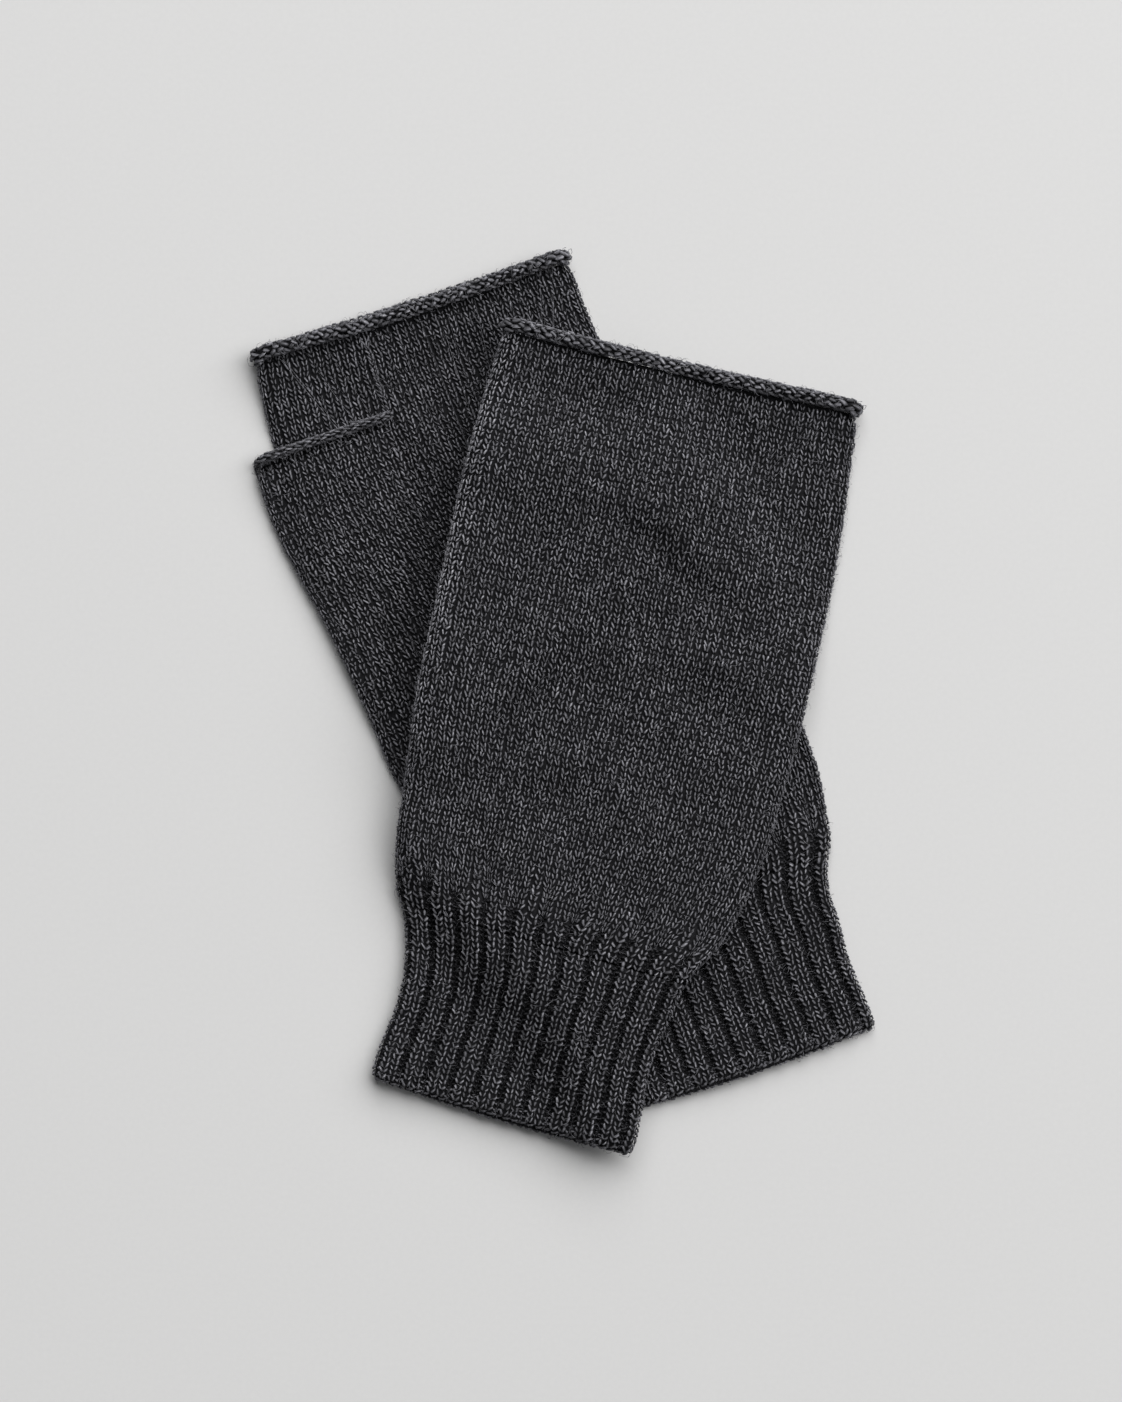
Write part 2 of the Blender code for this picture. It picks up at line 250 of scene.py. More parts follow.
LOWER_CREASES = (
    Crease(-20.8, 182.0, 90.0, 22.0, 1.8, -1.5),
    Crease(-16.5, 180.0, 92.0, 26.0, 3.0, 0.9),
    Crease(-30.0, 150.0, 70.0, 40.0, 4.0, -1.0),
    Crease(-8.0, 198.0, 5.0, 40.0, 4.0, -1.0),
    Crease(-44.0, 168.0, 30.0, 26.0, 4.0, 0.9),
    Crease(40.0, 66.0, 70.0, 24.0, 3.5, -1.1),
    Crease(-40.0, 120.0, 100.0, 30.0, 4.0, 0.9),
    Crease(-25.0, 130.0, 40.0, 30.0, 4.0, -1.0),
)
LOWER = Mitt("lower", (47.64, -95.12), 22.0, LOWER_CREASES, 5)
UPPER = Mitt("upper", (-16.45, -107.47), -13.65, UPPER_CREASES, 11)


def smooth(t):
    """0 to 1, level at both ends."""
    t = np.clip(t, 0.0, 1.0)
    return t * t * (3.0 - 2.0 * t)


def stretch(y, middle, half):
    """1 along a stretch, falling softly to 0 past its ends."""
    return np.exp(-(((y - middle) / half) ** 4))


def rung_ends(rungs, along):
    """The left and right ends of the sections at these places, on smooth curves through the rungs."""
    table = np.array(rungs)
    places, columns = table[:, 0], table[:, 1:]
    slopes = np.gradient(columns, places, axis=0)
    i = np.clip(np.searchsorted(places, along) - 1, 0, len(places) - 2)
    span = (places[i + 1] - places[i])[:, None]
    t = (along - places[i])[:, None] / span
    ends = columns[i] * (1 + 2 * t) * (1 - t) ** 2 + columns[i + 1] * t * t * (3 - 2 * t)
    ends += span * (slopes[i] * t * (1 - t) ** 2 + slopes[i + 1] * t * t * (t - 1))
    left, right, lean = ends.T
    return (
        np.stack([left, along - lean / 2], axis=1),
        np.stack([right, along + lean / 2], axis=1),
    )


def to_pair(mitt, x, y):
    """A mitt's own coordinates, as X and Y in the pair's frame."""
    c, s = cos(radians(mitt.turn)), sin(radians(mitt.turn))
    return mitt.place[0] + c * x - s * y, mitt.place[1] + s * x + c * y


def outline(rungs, steps=40):
    """The closed outline of a piece in its mitt's frame."""
    left, right = rung_ends(rungs, np.linspace(rungs[0].along, rungs[-1].along, steps))
    return np.concatenate([left, right[::-1]])


def pair_outline(mitt, rungs):
    """The same in the pair's frame."""
    return np.stack(to_pair(mitt, *outline(rungs).T), axis=1)


def outside(x, y, edge):
    """How far points lie outside a closed outline; negative inside it."""
    p = np.stack([x.ravel(), y.ravel()], axis=1)[:, None, :]
    a, b = edge[None], np.roll(edge, -1, axis=0)[None]
    t = np.clip(((p - a) * (b - a)).sum(-1) / ((b - a) ** 2).sum(-1), 0, 1)
    gap = np.linalg.norm(p - a - t[..., None] * (b - a), axis=-1).min(axis=1)
    spans = (a[..., 1] > p[..., 1]) != (b[..., 1] > p[..., 1])
    rise = np.where(b[..., 1] == a[..., 1], 1.0, b[..., 1] - a[..., 1])
    crossing = a[..., 0] + (b[..., 0] - a[..., 0]) * (p[..., 1] - a[..., 1]) / rise
    inside = (spans & (p[..., 0] < crossing)).sum(axis=1) % 2 == 1
    return np.where(inside, -gap, gap).reshape(x.shape)


def drape(distance, bridge=BRIDGE, slope=SLOPE):
    """1 over a thing and just past its edge, falling softly to 0 on the surface beside it."""
    return 1.0 - smooth((distance - bridge) / slope)


def on_surface(x, y):
    return np.zeros_like(x)


def on_lower_palm(x, y):
    """The lower thumb lies on its own palm and sags past the palm's edge."""
    height = 2 * HALF * THUMB_PRESS * LOWER_LOFT + SEAM
    return height * drape(outside(x, y, outline(LOWER_HAND)), *THUMB_SAG)


def thumb_rise(x, y):
    """1 where the lower thumb lies on the palm in full, and 0 where its face has become the palm's."""
    _, right = rung_ends(LOWER_THUMB, np.clip(y.ravel(), LOWER_THUMB[0].along, LOWER_THUMB[-1].along))
    inside = right[:, 0].reshape(y.shape) - x
    past, over = THUMB_BLEND
    start, length = THUMB_ROOT
    return smooth((inside + past) / over) * smooth((y - start) / length)


def lofted(x, y):
    """The upper cuff is ribbed more fully than the hand, and lies thicker."""
    return 1 + CUFF_LOFT * (1 - smooth((y - CUFF) / LOFT_REACH))


def under_thumb(x, y):
    """The lower thumb lies on its palm, and sinks into it where it grows out of it."""
    return on_lower_palm(x, y) - THUMB_SINK * (1 - thumb_rise(x, y)) - thumb_crevice(y)


def thumb_crevice(y):
    """How far the thumb's face sinks beside its own roll."""
    return THUMB_CREVICE * smooth((y - THUMB_FACE_END) / CREVICE_REACH + 1)


def flattened(x, y):
    """How much of its thickness the lower mitt keeps: its plain knit lies flatter than its cuff."""
    return LOWER_CUFF_LOFT + (LOWER_LOFT - LOWER_CUFF_LOFT) * smooth((y - CUFF) / LOFT_REACH)


def pressed(x, y):
    """The same for its hand, which its thumb presses too."""
    kept = THUMB_PRESS * drape(outside(x, y, outline(LOWER_HAND)), *THUMB_SAG)
    past = smooth((y - LOWER_THUMB[-1].along) / PRESS_REACH)
    return flattened(x, y) * (1 - (1 - kept) * thumb_rise(x, y) * (1 - past))


def flattened_thumb(x, y):
    return flattened(x, y) * thumb_rise(x, y)


def under_palm(x, y):
    """What holds the face of the lower palm up: its thumb, which climbs onto its own roll."""
    climb = (2 * THUMB_ROLL - WALL) * smooth((y - THUMB_FACE_END) / CLIMB_REACH + 1)
    past = smooth((y - THUMB_FACE_END) / CROTCH_FALL)
    return (on_lower_palm(x, y) + climb - thumb_crevice(y)) * thumb_rise(x, y) * (1 - past)


def on_lower_mitt(x, y):
    """The upper mitt lies over the lower one, and on the surface where it has passed its edge."""
    height = 2 * HALF + CLEAR + LIFT
    return height * drape(outside(*to_pair(UPPER, x, y), pair_outline(LOWER, LOWER_HAND)))


def on_folded_thumb(x, y):
    """The upper hand lies on the lower mitt and on its own folded thumb."""
    height = np.interp(y, *np.array(THUMB_BULK).T)
    rim = RIM_LIFT * smooth((RIM_INNER - x) / RIM_REACH) * stretch(y, RIM_MIDDLE, RIM_HALF)
    return on_lower_mitt(x, y) + rim + height * drape(outside(x, y, outline(UPPER_THUMB)))


def unevenness(x, y, seed, waves=16, height=0.28):
    """The slight waves of cloth that nobody has pressed, as a sum of long ripples."""
    draw = np.random.default_rng(seed)
    total = np.zeros_like(x)
    for _ in range(waves):
        length, turn, phase = draw.uniform(9, 32), draw.uniform(0, pi), draw.uniform(0, tau)
        ripple = np.sin((x * cos(turn) + y * sin(turn)) * tau / length + phase)
        total += height * (length / 32) * ripple / (waves / 2) ** 0.5
    return total


def creased(x, y, mitt):
    """The height that a mitt's creases and waves add to its face."""
    total = unevenness(x, y, mitt.seed)
    for crease in mitt.creases:
        c, s = cos(radians(crease.turn)), sin(radians(crease.turn))
        along = (x - crease.x) * c + (y - crease.y) * s
        across = (y - crease.y) * c - (x - crease.x) * s
        across = across + CREASE_SWING * np.sin(along / CREASE_SWING_REACH + crease.x)
        ends = stretch(along, 0.0, crease.long / 2)
        total += crease.deep * ends * np.exp(-((across / crease.wide) ** 2))
    return total


def ribbed(along):
    """1 in the ribbed cuff, fading to 0 in the plain knit above it, and weaker at the cast-on edge."""
    start = RIBS_AT_HEM + (1 - RIBS_AT_HEM) * smooth((along + 1) / RIBS_START)
    return start * (1 - smooth((along - RIBS_FADE_FROM) / (RIBS_FADE_TO - RIBS_FADE_FROM)))


def spread(wale, ribs):
    """Where a wale lies round its tube, in even wales: a rib's two purl wales draw together."""
    rib, step = np.divmod(wale - RIBS_FROM, RIB)
    tight = RIB * np.interp(step, range(RIB + 1), RIB_PLACES)
    return RIB * rib + step + ribs * (tight - step) + RIBS_FROM


def rib_relief(wale):
    """How far the face of a rib stands out, and its groove lies in."""
    share = np.interp((wale - RIBS_FROM) % RIB, range(RIB + 1), RIB_PLACES)
    gap = np.abs((share - GROOVE + 0.5) % 1 - 0.5)
    groove = 1 - smooth((gap - GROOVE_FLOOR) / (GROOVE_REACH - GROOVE_FLOOR))
    valley = 1 - smooth(np.abs(share - VALLEY) / VALLEY_REACH)
    return CROWN_RISE * (1 - groove) - GROOVE_DEPTH * groove - VALLEY_DEPTH * valley


def around(share, flat, half):
    """Places round a flattened tube, at shares of the way from its left fold over its top."""
    quarter = pi / 2 * half
    way = (share % 1) * 4 * (flat + quarter)
    top = np.clip((way - quarter) / flat, 0, 2)
    bottom = np.clip((way - 3 * quarter - 2 * flat) / flat, 0, 2)
    turn = np.clip(way / half, 0, pi / 2) + np.clip((way - quarter - 2 * flat) / half, 0, pi)
    turn += np.clip((way - 3 * quarter - 4 * flat) / half, 0, pi / 2)
    return -1 + top - bottom, -np.cos(turn), np.sin(turn)


def lay_out(tube, rows, wales, tuck=0.0, ribs=True):
    """A grid of points on a tube that lies flat on its ground: a line of wales for each row."""
    _, along, depth = np.array(rows).T
    left, right = rung_ends(tube.rungs, along)
    middle, way = (left + right) / 2, right - left
    reach = np.linalg.norm(way, axis=1) / 2
    way = way / (2 * reach[:, None])
    start, end = tube.rungs[0].along, tube.rungs[-1].along
    corner = 1 - np.clip((along - start) / HEM_CORNER, 0, 1)
    rounding = HEM_ROUND * (1 - np.sqrt(1 - corner**2)) * ribs
    flat = (reach - tube.half - tuck - rounding + FULLER)[:, None]

    wales = np.asarray(wales, float)[None, :] * CUFF_WALES / tube.wales
    uneven = RIBS_UNEVEN * np.sin(0.9 * wales) * smooth(along / CUFF)[:, None]
    fade = ribbed(along[:, None] + uneven) * ribs
    across, out, up = around(spread(wales, fade) / CUFF_WALES, flat, tube.half)
    layers = (tube.half - tube.wall, tube.half - BED - BACKING, tube.half - BED)
    bearing = np.interp(depth, layers, RELIEF_SHARES)
    depth = depth[:, None] + fade * bearing[:, None] * rib_relief(wales)
    inset = (1 - np.abs(across)) * flat
    knob = np.where(across < 0, *tube.knobs) * np.exp(-((inset / KNOB_REACH) ** 2)) * np.abs(out)
    core = tube.half - tube.wall + tube.roll
    depth = core + (depth - core) * (1 + KNOB * knob)
    aside = flat * across + depth * out
    x = middle[:, :1] + way[:, :1] * aside
    y = middle[:, 1:] + way[:, 1:] * aside

    below = np.maximum(-up, 0)
    near_hem = 1 - smooth(along / HEM_REACH)[:, None]
    drop = tube.hem_drop * near_hem * below
    dip = (tube.edge_dip - tube.peek * below) * smooth((along - end) / EDGE_REACH + 1)[:, None]
    y = y - (drop + dip) * (1 - across**2)
    y = y + knob * (KNOB * (along[:, None] - end + tube.roll) - KNOB_DROOP)
    climb = 2 * tube.roll - tube.wall
    climbed = climb * smooth((along - end + 2 * tube.roll) / CLIMB_REACH + 1)[:, None]
    thin = tube.thin(x, y) if tube.thin else 1.0
    z = tube.ground(x, y) + climbed + (tube.half + depth * up) * thin
    gape = HEM_GAPE * ribs * (1 - across**4) * near_hem
    low = 1 - smooth((along - start) / HEM_CURL_REACH)[:, None]
    curl = HEM_CURL * ribs * (1 - across**2) * low
    z += curl * below
    fold = FOLD_DEPTH * ribs * np.exp(-(((inset - FOLD_INSET) / FOLD_REACH) ** 2)) * (1 - fade)
    z += (creased(x, y, tube.mitt) * thin + gape - fold) * np.clip(up, 0, 1)
    return np.stack([*to_pair(tube.mitt, x, y), np.maximum(z, OFF_SURFACE)], axis=-1)


def mesh_object(name, points, faces, collection=None):
    """An object from points in millimetres."""
    mesh = bpy.data.meshes.new(name)
    mesh.from_pydata((np.asarray(points) * MM).tolist(), [], faces)
    mesh.shade_smooth()
    piece = bpy.data.objects.new(name, mesh)
    (collection or bpy.context.scene.collection).objects.link(piece)
    return piece


# --- Shells -------------------------------------------------------------------------------------


def wall_rows(first, last, step, depth):
    """Rows along a plain wall, at this depth from the tube's middle plane."""
    places = np.linspace(first, last, max(2, round((last - first) / step) + 1))
    return [Row(along / COURSE, along, depth) for along in places]


def sunk(rows, tube):
    """The rows of a face, which sinks into a crevice beside the rolled edge."""
    edge = tube.rungs[-1].along - 2 * tube.roll
    depths = [row.depth - CREVICE * smooth((row.along - edge) / CREVICE_REACH + 1) for row in rows]
    return [row._replace(depth=depth) for row, depth in zip(rows, depths)]


def shell_rows(tube, first, last, step):
    """A wall seen end on: up its outer face and back down its inner one, with rounded rims."""
    face, back = tube.half - BED - BACKING, tube.half - tube.wall
    outer = sunk(wall_rows(first + 0.4, last - 0.4, step, face), tube)
    inner = wall_rows(first + 0.4, last - 0.4, 3 * step, back)
    top = Row(last / COURSE, last, (face + back) / 2)
    hem = Row(first / COURSE, first, (face + back) / 2)
    return outer + [top] + inner[::-1] + [hem]


def roll_row(tube, radius, turn):
    """A row on a rolled edge, at this turn in degrees: 0 is its top and 90 its far side."""
    reach = tube.half - tube.wall + tube.roll
    middle = tube.rungs[-1].along - tube.roll
    c, s = cos(radians(turn)), sin(radians(turn))
    return Row(turn / ROLL_COURSE, middle + radius * s, reach + radius * c)


def rolled_rows(tube):
    """The cloth of a rolled edge seen end on: from under the roll round its far side and on into it."""
    turns = np.arange(180, 180 - ROLL_TURN - 1, -20)
    radii = np.linspace(tube.roll - ROLL_BED, tube.roll - ROLL_BED - ROLL_THIN * tube.roll, len(turns))
    outer = [roll_row(tube, radius, turn) for radius, turn in zip(radii, turns)]
    inner = [roll_row(tube, radius - ROLL_CLOTH * tube.roll, turn) for radius, turn in zip(radii, turns)]
    return outer[::-1] + inner


def closed_shell(name, points):
    """A mesh from a grid of points that closes on itself both ways."""
    rows, columns = points.shape[:2]
    faces = []
    for i in range(rows):
        for j in range(columns):
            a, b = i * columns, (i + 1) % rows * columns
            k = (j + 1) % columns
            faces.append((a + j, a + k, b + k, b + j))
    return mesh_object(name, points.reshape(-1, 3), faces)


# --- Stitches, one by one -------------------------------------------------------------------------


def strand(path, thick, sides, flatness):
    """A closed tapered strand of yarn along a path, whose ends are its tips: points, faces, places.

    A place is a point's offset across the strand and its distance along it, for the fibres' streaks, and how
    far it is tucked in between its neighbours, from its crest, 0, to its sides and tips, 1; the yarn's
    colour is painted darker by this, as painted shade."""
    path = np.asarray(path, float)
    lengths = np.concatenate([[0], np.cumsum(np.linalg.norm(np.diff(path, axis=0), axis=1))])
    points, places = [path[0]], [(0.0, 0.0, 1.0)]
    for i in range(1, len(path) - 1):
        ahead = path[i + 1] - path[i - 1]
        side = np.cross(ahead, (0, 0, 1))
        side /= np.linalg.norm(side)
        lift = np.cross(side, ahead)
        lift /= np.linalg.norm(lift)
        for k in range(sides):
            turn = tau * k / sides
            points.append(path[i] + thick[i - 1] * (cos(turn) * side + sin(turn) * flatness * lift))
            places.append((cos(turn) * thick[i - 1], lengths[i], abs(cos(turn))))
    points.append(path[-1])
    places.append((0.0, lengths[-1], 1.0))
    faces, last = [], len(points) - 1
    for k in range(sides):
        n = (k + 1) % sides
        faces.append((0, 1 + n, 1 + k))
        for i in range(len(path) - 3):
            a, b = 1 + i * sides, 1 + (i + 1) * sides
            faces.append((a + k, a + n, b + n, b + k))
        faces.append((last - sides + k, last - sides + n, last))
    return points, faces, places


def pattern(name, strands, collection):
    """A small mesh of a few strands, which is laid again and again."""
    points, faces, places, legs = [], [], [], []
    for leg, (some, around_them, along_them) in enumerate(strands):
        faces += [tuple(i + len(points) for i in face) for face in around_them]
        points += list(some)
        places += along_them
        legs += [leg] * len(some)
    piece = mesh_object(name, np.array(points) / MM, faces, collection)
    marks = piece.data.attributes.new("strand", "FLOAT_VECTOR", "POINT")
    marks.data.foreach_set("vector", np.array(places, np.float32).ravel())
    numbers = piece.data.attributes.new("leg", "INT", "POINT")
    numbers.data.foreach_set("value", np.array(legs, np.int32))
    return piece


def patterns(name, draw_one, count, seed):
    """A collection of slightly different versions of one stitch."""
    draw = np.random.default_rng(seed)
    collection = bpy.data.collections.new(name)
    for i in range(count):
        pattern(f"{name} {i}", draw_one(draw), collection)
    return collection


def knit_stitch(draw, rings=2, flare=(0.46, 0.78), tall=0.34):
    """The V of a knit stitch: two legs that come up between the legs below and dive at their tops."""
    strands = []
    for side in (-1, 1):
        foot = draw.uniform(0.02, 0.34)
        apart, up = draw.uniform(*flare), draw.uniform(-tall, tall)
        puff = draw.uniform(0.26, 0.52)
        path = [
            (side * foot, -0.88, -0.2),
            (side * (foot + 0.13), -0.38, puff),
            (side * apart, 0.28 + up, puff - 0.04),
            (side * (apart + 0.16), 0.88 + up, -0.24),
        ]
        thick = [draw.uniform(0.23, 0.32), draw.uniform(0.23, 0.32)]
        if rings == 1:
            path = [path[0], tuple((np.array(path[1]) + path[2]) / 2), path[3]]
            thick = [0.42]
        strands.append(strand(path, thick, 4, 0.9))
    return strands


def rib_stitch(draw):
    """The same V in a rib, more even."""
    return knit_stitch(draw, flare=(0.48, 0.76), tall=0.22)


def plain_knit_stitch(draw):
    """The same V with fewer faces, for the sides that lie out of sight."""
    return knit_stitch(draw, rings=1)


def purl_stitch(draw):
    """The bumps of a purl stitch: the head of one loop and the foot of the next, across the wale."""
    strands = []
    for side in (-1, 1):
        tilt = side * draw.uniform(0.16, 0.3)
        middle = (side * 0.5, side * 0.3 + draw.uniform(-0.08, 0.08))
        lift = draw.uniform(0.24, 0.4)
        path = [
            (middle[0] - 0.85, middle[1] - tilt * 1.3, -0.2),
            (middle[0] - 0.4, middle[1] - tilt * 0.4, lift),
            (middle[0] + 0.4, middle[1] + tilt * 0.4, lift),
            (middle[0] + 0.85, middle[1] + tilt * 1.3, -0.2),
        ]
        strands.append(strand(path, [draw.uniform(0.28, 0.35)] * 2, 4, 0.85))
    return strands


def roll_stitch(draw):
    """The bumps of a purl stitch on a rolled edge, stretched round it and well apart."""
    strands = []
    for side in (-1, 1):
        tilt = -side * draw.uniform(0.1, 0.6)
        middle = (side * 0.52 + draw.uniform(-0.12, 0.12), side * 0.36 + draw.uniform(-0.12, 0.12))
        lift = draw.uniform(0.36, 0.66)
        path = [
            (middle[0] - 1.0, middle[1] - tilt, -0.2),
            (middle[0] - 0.4, middle[1] - tilt * 0.4, lift),
            (middle[0] + 0.4, middle[1] + tilt * 0.4, lift),
            (middle[0] + 1.0, middle[1] + tilt, -0.2),
        ]
        strands.append(strand(path, [draw.uniform(0.32, 0.42), draw.uniform(0.32, 0.42)], 4, 0.9))
    return strands


def hem_stitch(draw):
    """The chain along a cast-on edge: one slanting loop for each wale."""
    tilt, lift = draw.uniform(0.1, 0.3), draw.uniform(0.3, 0.42)
    path = [(-1.25, -0.3 - tilt, -0.1), (-0.5, -tilt, lift), (0.5, tilt, lift), (1.25, 0.3 + tilt, -0.1)]
    return [strand(path, [draw.uniform(0.3, 0.36)] * 2, 4, 0.85)]


def stray_fibre(draw):
    """One fine fibre that stands off the yarn in a loose curl."""
    long, curl, rise = draw.uniform(0.9, 3.6), draw.uniform(-1.3, 1.3), draw.uniform(0.4, 2.0)
    path = []
    for t in np.linspace(0, 1, 5):
        path.append((long * t, curl * t * t + 0.2 * sin(5 * t), 0.15 + rise * sin(2.1 * t) * (1 - 0.25 * t)))
    return [strand(path, [0.042, 0.038, 0.03], 3, 1.0)]


# --- How they are laid ------------------------------------------------------------------------------


def add(tree, kind, inputs=(), **settings):
    """Adds a node with its settings and its inputs, each a value or the output that it takes.

    The inputs are given by identifier or in order.  Gives the node's first output that is in use."""
    node = tree.nodes.new(kind)
    for name, value in settings.items():
        setattr(node, name, value)
    sockets = {socket.identifier: socket for socket in node.inputs}
    if not isinstance(inputs, dict):
        inputs = dict(zip([name for name, socket in sockets.items() if socket.enabled], inputs))
    for name, value in inputs.items():
        if isinstance(value, bpy.types.NodeSocket):
            tree.links.new(value, sockets[name])
        else:
            sockets[name].default_value = value
    return next((socket for socket in node.outputs if socket.enabled), node)


MATH, VECTOR, XYZ = "ShaderNodeMath", "ShaderNodeVectorMath", "ShaderNodeCombineXYZ"
NOISE = "ShaderNodeTexNoise"
READ, STORE = "GeometryNodeInputNamedAttribute", "GeometryNodeStoreNamedAttribute"
KNIT_INPUTS = (
    ("Cloth", "NodeSocketObject"),
    ("Stitches", "NodeSocketCollection"),
    ("Columns", "NodeSocketInt"),
    ("Rows", "NodeSocketInt"),
    ("First wale", "NodeSocketFloat"),
    ("First course", "NodeSocketFloat"),
    ("Wales together", "NodeSocketInt"),
    ("Wales apart", "NodeSocketInt"),
    ("Where", "NodeSocketString"),
    ("Share", "NodeSocketFloat"),
    ("Turn", "NodeSocketFloat"),
    ("Stray", "NodeSocketFloat"),
    ("Wander", "NodeSocketFloat"),
    ("Seed", "NodeSocketInt"),
    ("Material", "NodeSocketMaterial"),
)


def stitch_tree():
    """Lays stitches in wales and courses on a cloth whose UV map counts them.

    A stitch is placed and bent in flat knitted space, X over the wales and Y over the courses, both in
    millimetres of plain knit; then each of its points goes to the cloth's surface there, and out along
    the surface's normal by its own height."""
    tree = bpy.data.node_groups.new("Stitches on a cloth", "GeometryNodeTree")
    for name, kind in KNIT_INPUTS:
        tree.interface.new_socket(name, in_out="INPUT", socket_type=kind)
    tree.interface.new_socket("Geometry", in_out="OUTPUT", socket_type="NodeSocketGeometry")
    given = tree.nodes.new("NodeGroupInput").outputs
    node = partial(add, tree)

    def random(step, low, high, kind="FLOAT"):
        low_end, high_end = {"FLOAT": ("Min_001", "Max_001"), "INT": ("Min_002", "Max_002")}[kind]
        seed = node(MATH, (given["Seed"], step), operation="ADD")
        return node("FunctionNodeRandomValue", {low_end: low, high_end: high, "Seed": seed}, data_type=kind)

    # Where each stitch goes
    index = node("GeometryNodeInputIndex")
    column = node(MATH, (index, given["Columns"]), operation="MODULO")
    row = node(MATH, (node(MATH, (index, 0.5), operation="ADD"), given["Columns"]), operation="DIVIDE")
    row = node(MATH, (row,), operation="FLOOR")
    group = node(MATH, (column, 0.5), operation="ADD")
    group = node(MATH, (group, given["Wales together"]), operation="DIVIDE")
    group = node(MATH, (group,), operation="FLOOR")
    skipped = node(MATH, (given["Wales apart"], given["Wales together"]), operation="SUBTRACT")
    skipped = node(MATH, (group, skipped), operation="MULTIPLY")
    wale = node(MATH, (column, given["First wale"]), operation="ADD")
    wale = node(MATH, (node(MATH, (wale, skipped), operation="ADD"), 0.5), operation="ADD")
    course = node(MATH, (row, given["First course"]), operation="ADD")
    course = node(MATH, (course, 0.5), operation="ADD")
    place = node(VECTOR, (node(XYZ, (wale, course)), (WALE, COURSE, 0.0)), operation="MULTIPLY")
    stray = node(XYZ, (random(1, -1.0, 1.0), random(2, -1.0, 1.0)))
    stray = node(VECTOR, (stray, given["Stray"]), operation="SCALE")
    place = node(VECTOR, (place, stray), operation="ADD")
    count = node(MATH, (given["Columns"], given["Rows"]), operation="MULTIPLY")
    points = node("GeometryNodePoints", {"Count": count, "Position": place})

    # The cloth that they are laid on
    cloth = node("GeometryNodeObjectInfo", {"Object": given["Cloth"]}).node.outputs["Geometry"]
    count_map = node(READ, {"Name": "wales"}, data_type="FLOAT_VECTOR")
    per_unit = (1 / (WALE * MAP_SPAN), 1 / (COURSE * MAP_SPAN), 0.0)
    position = node("GeometryNodeInputPosition")

    def on_cloth(value, kind, at):
        spot = node(VECTOR, (at, per_unit), operation="MULTIPLY")
        inputs = {"Mesh": cloth, "Value": value, "Source UV Map": count_map, "Sample UV": spot}
        return node("GeometryNodeSampleUVSurface", inputs, data_type=kind)

    # Where they are wanted; past 1 the wool there is painted paler, a painted highlight
    share = on_cloth(node(READ, {"Name": given["Where"]}, data_type="FLOAT"), "FLOAT", position)
    wanted = node(MATH, (share, given["Share"]), operation="MULTIPLY")
    dropped = node(MATH, (wanted, random(3, 0.0, 0.999)), operation="LESS_THAN")
    dropped = {"Geometry": points, "Selection": dropped}
    points = node("GeometryNodeDeleteGeometry", dropped, domain="POINT")
    over = node(MATH, (node(MATH, (share, 1.0), operation="SUBTRACT"), 0.0), operation="MAXIMUM")
    highlighting = {"Geometry": points, "Name": "rubbed", "Value": over}
    points = node(STORE, highlighting, data_type="FLOAT", domain="POINT")

    # One of the patterns on each place, a little turned and scaled
    shapes = {"Collection": given["Stitches"], "Separate Children": True, "Reset Children": True}
    turn = node(MATH, (random(4, -1.0, 1.0), given["Turn"]), operation="MULTIPLY")
    laying = {
        "Points": points,
        "Instance": node("GeometryNodeCollectionInfo", shapes),
        "Pick Instance": True,
        "Instance Index": random(5, 0, PATTERNS - 1, "INT"),
        "Rotation": node(XYZ, {"Z": turn}),
        "Scale": random(6, 0.85, 1.12),
    }
    stitches = node("GeometryNodeInstanceOnPoints", laying)
    numbers = {"Geometry": stitches, "Name": "stitch", "Value": index}
    stitches = node(STORE, numbers, data_type="INT", domain="INSTANCE")
    stitches = node("GeometryNodeRealizeInstances", {"Geometry": stitches})

    # Each leg has its own tone, because the yarn is spun from dark and light fibres
    tone = random(0, 0.0, 1.0)
    number = node(MATH, (node(READ, {"Name": "stitch"}, data_type="INT"), 2.0), operation="MULTIPLY")
    number = node(MATH, (number, node(READ, {"Name": "leg"}, data_type="INT")), operation="ADD")
    tree.links.new(number, tone.node.inputs["ID"])
    # The painted highlight: past 1 the tone is pushed paler
    highlight = node(READ, {"Name": "rubbed"}, data_type="FLOAT")
    tones = {"Geometry": stitches, "Name": "tone", "Value": node(MATH, (tone, highlight), operation="ADD")}
    stitches = node(STORE, tones, data_type="FLOAT", domain="POINT")

    # Down onto the cloth, never through the surface that it lies on
    noise = node(NOISE, {"Vector": position, "Scale": 0.15, "Detail": 3.0})
    drift = node(VECTOR, (noise.node.outputs["Color"], (0.5, 0.5, 0.5)), operation="SUBTRACT")
    drift = node(VECTOR, (drift, (1.0, 1.0, 0.0)), operation="MULTIPLY")
    drift = node(VECTOR, (drift, given["Wander"]), operation="SCALE")
    place = node(VECTOR, (position, drift), operation="ADD")
    surface = on_cloth(node("GeometryNodeInputPosition"), "FLOAT_VECTOR", place)
    outwards = on_cloth(node("GeometryNodeInputNormal"), "FLOAT_VECTOR", place)
    height = node("ShaderNodeSeparateXYZ", {"Vector": position}).node.outputs["Z"]
    height = node(MATH, (height, MM), operation="MULTIPLY")
    lifted = node(VECTOR, (outwards, height), operation="SCALE")
    final = node(VECTOR, (surface, lifted), operation="ADD")
    final = node(VECTOR, (final, (-9.0, -9.0, OFF_SURFACE * MM)), operation="MAXIMUM")
    stitches = node("GeometryNodeSetPosition", {"Geometry": stitches, "Position": final})
    stitches = node("GeometryNodeSetShadeSmooth", {"Geometry": stitches})
    stitches = node("GeometryNodeSetMaterial", {"Geometry": stitches, "Material": given["Material"]})
    tree.links.new(stitches, tree.nodes.new("NodeGroupOutput").inputs["Geometry"])
    return tree


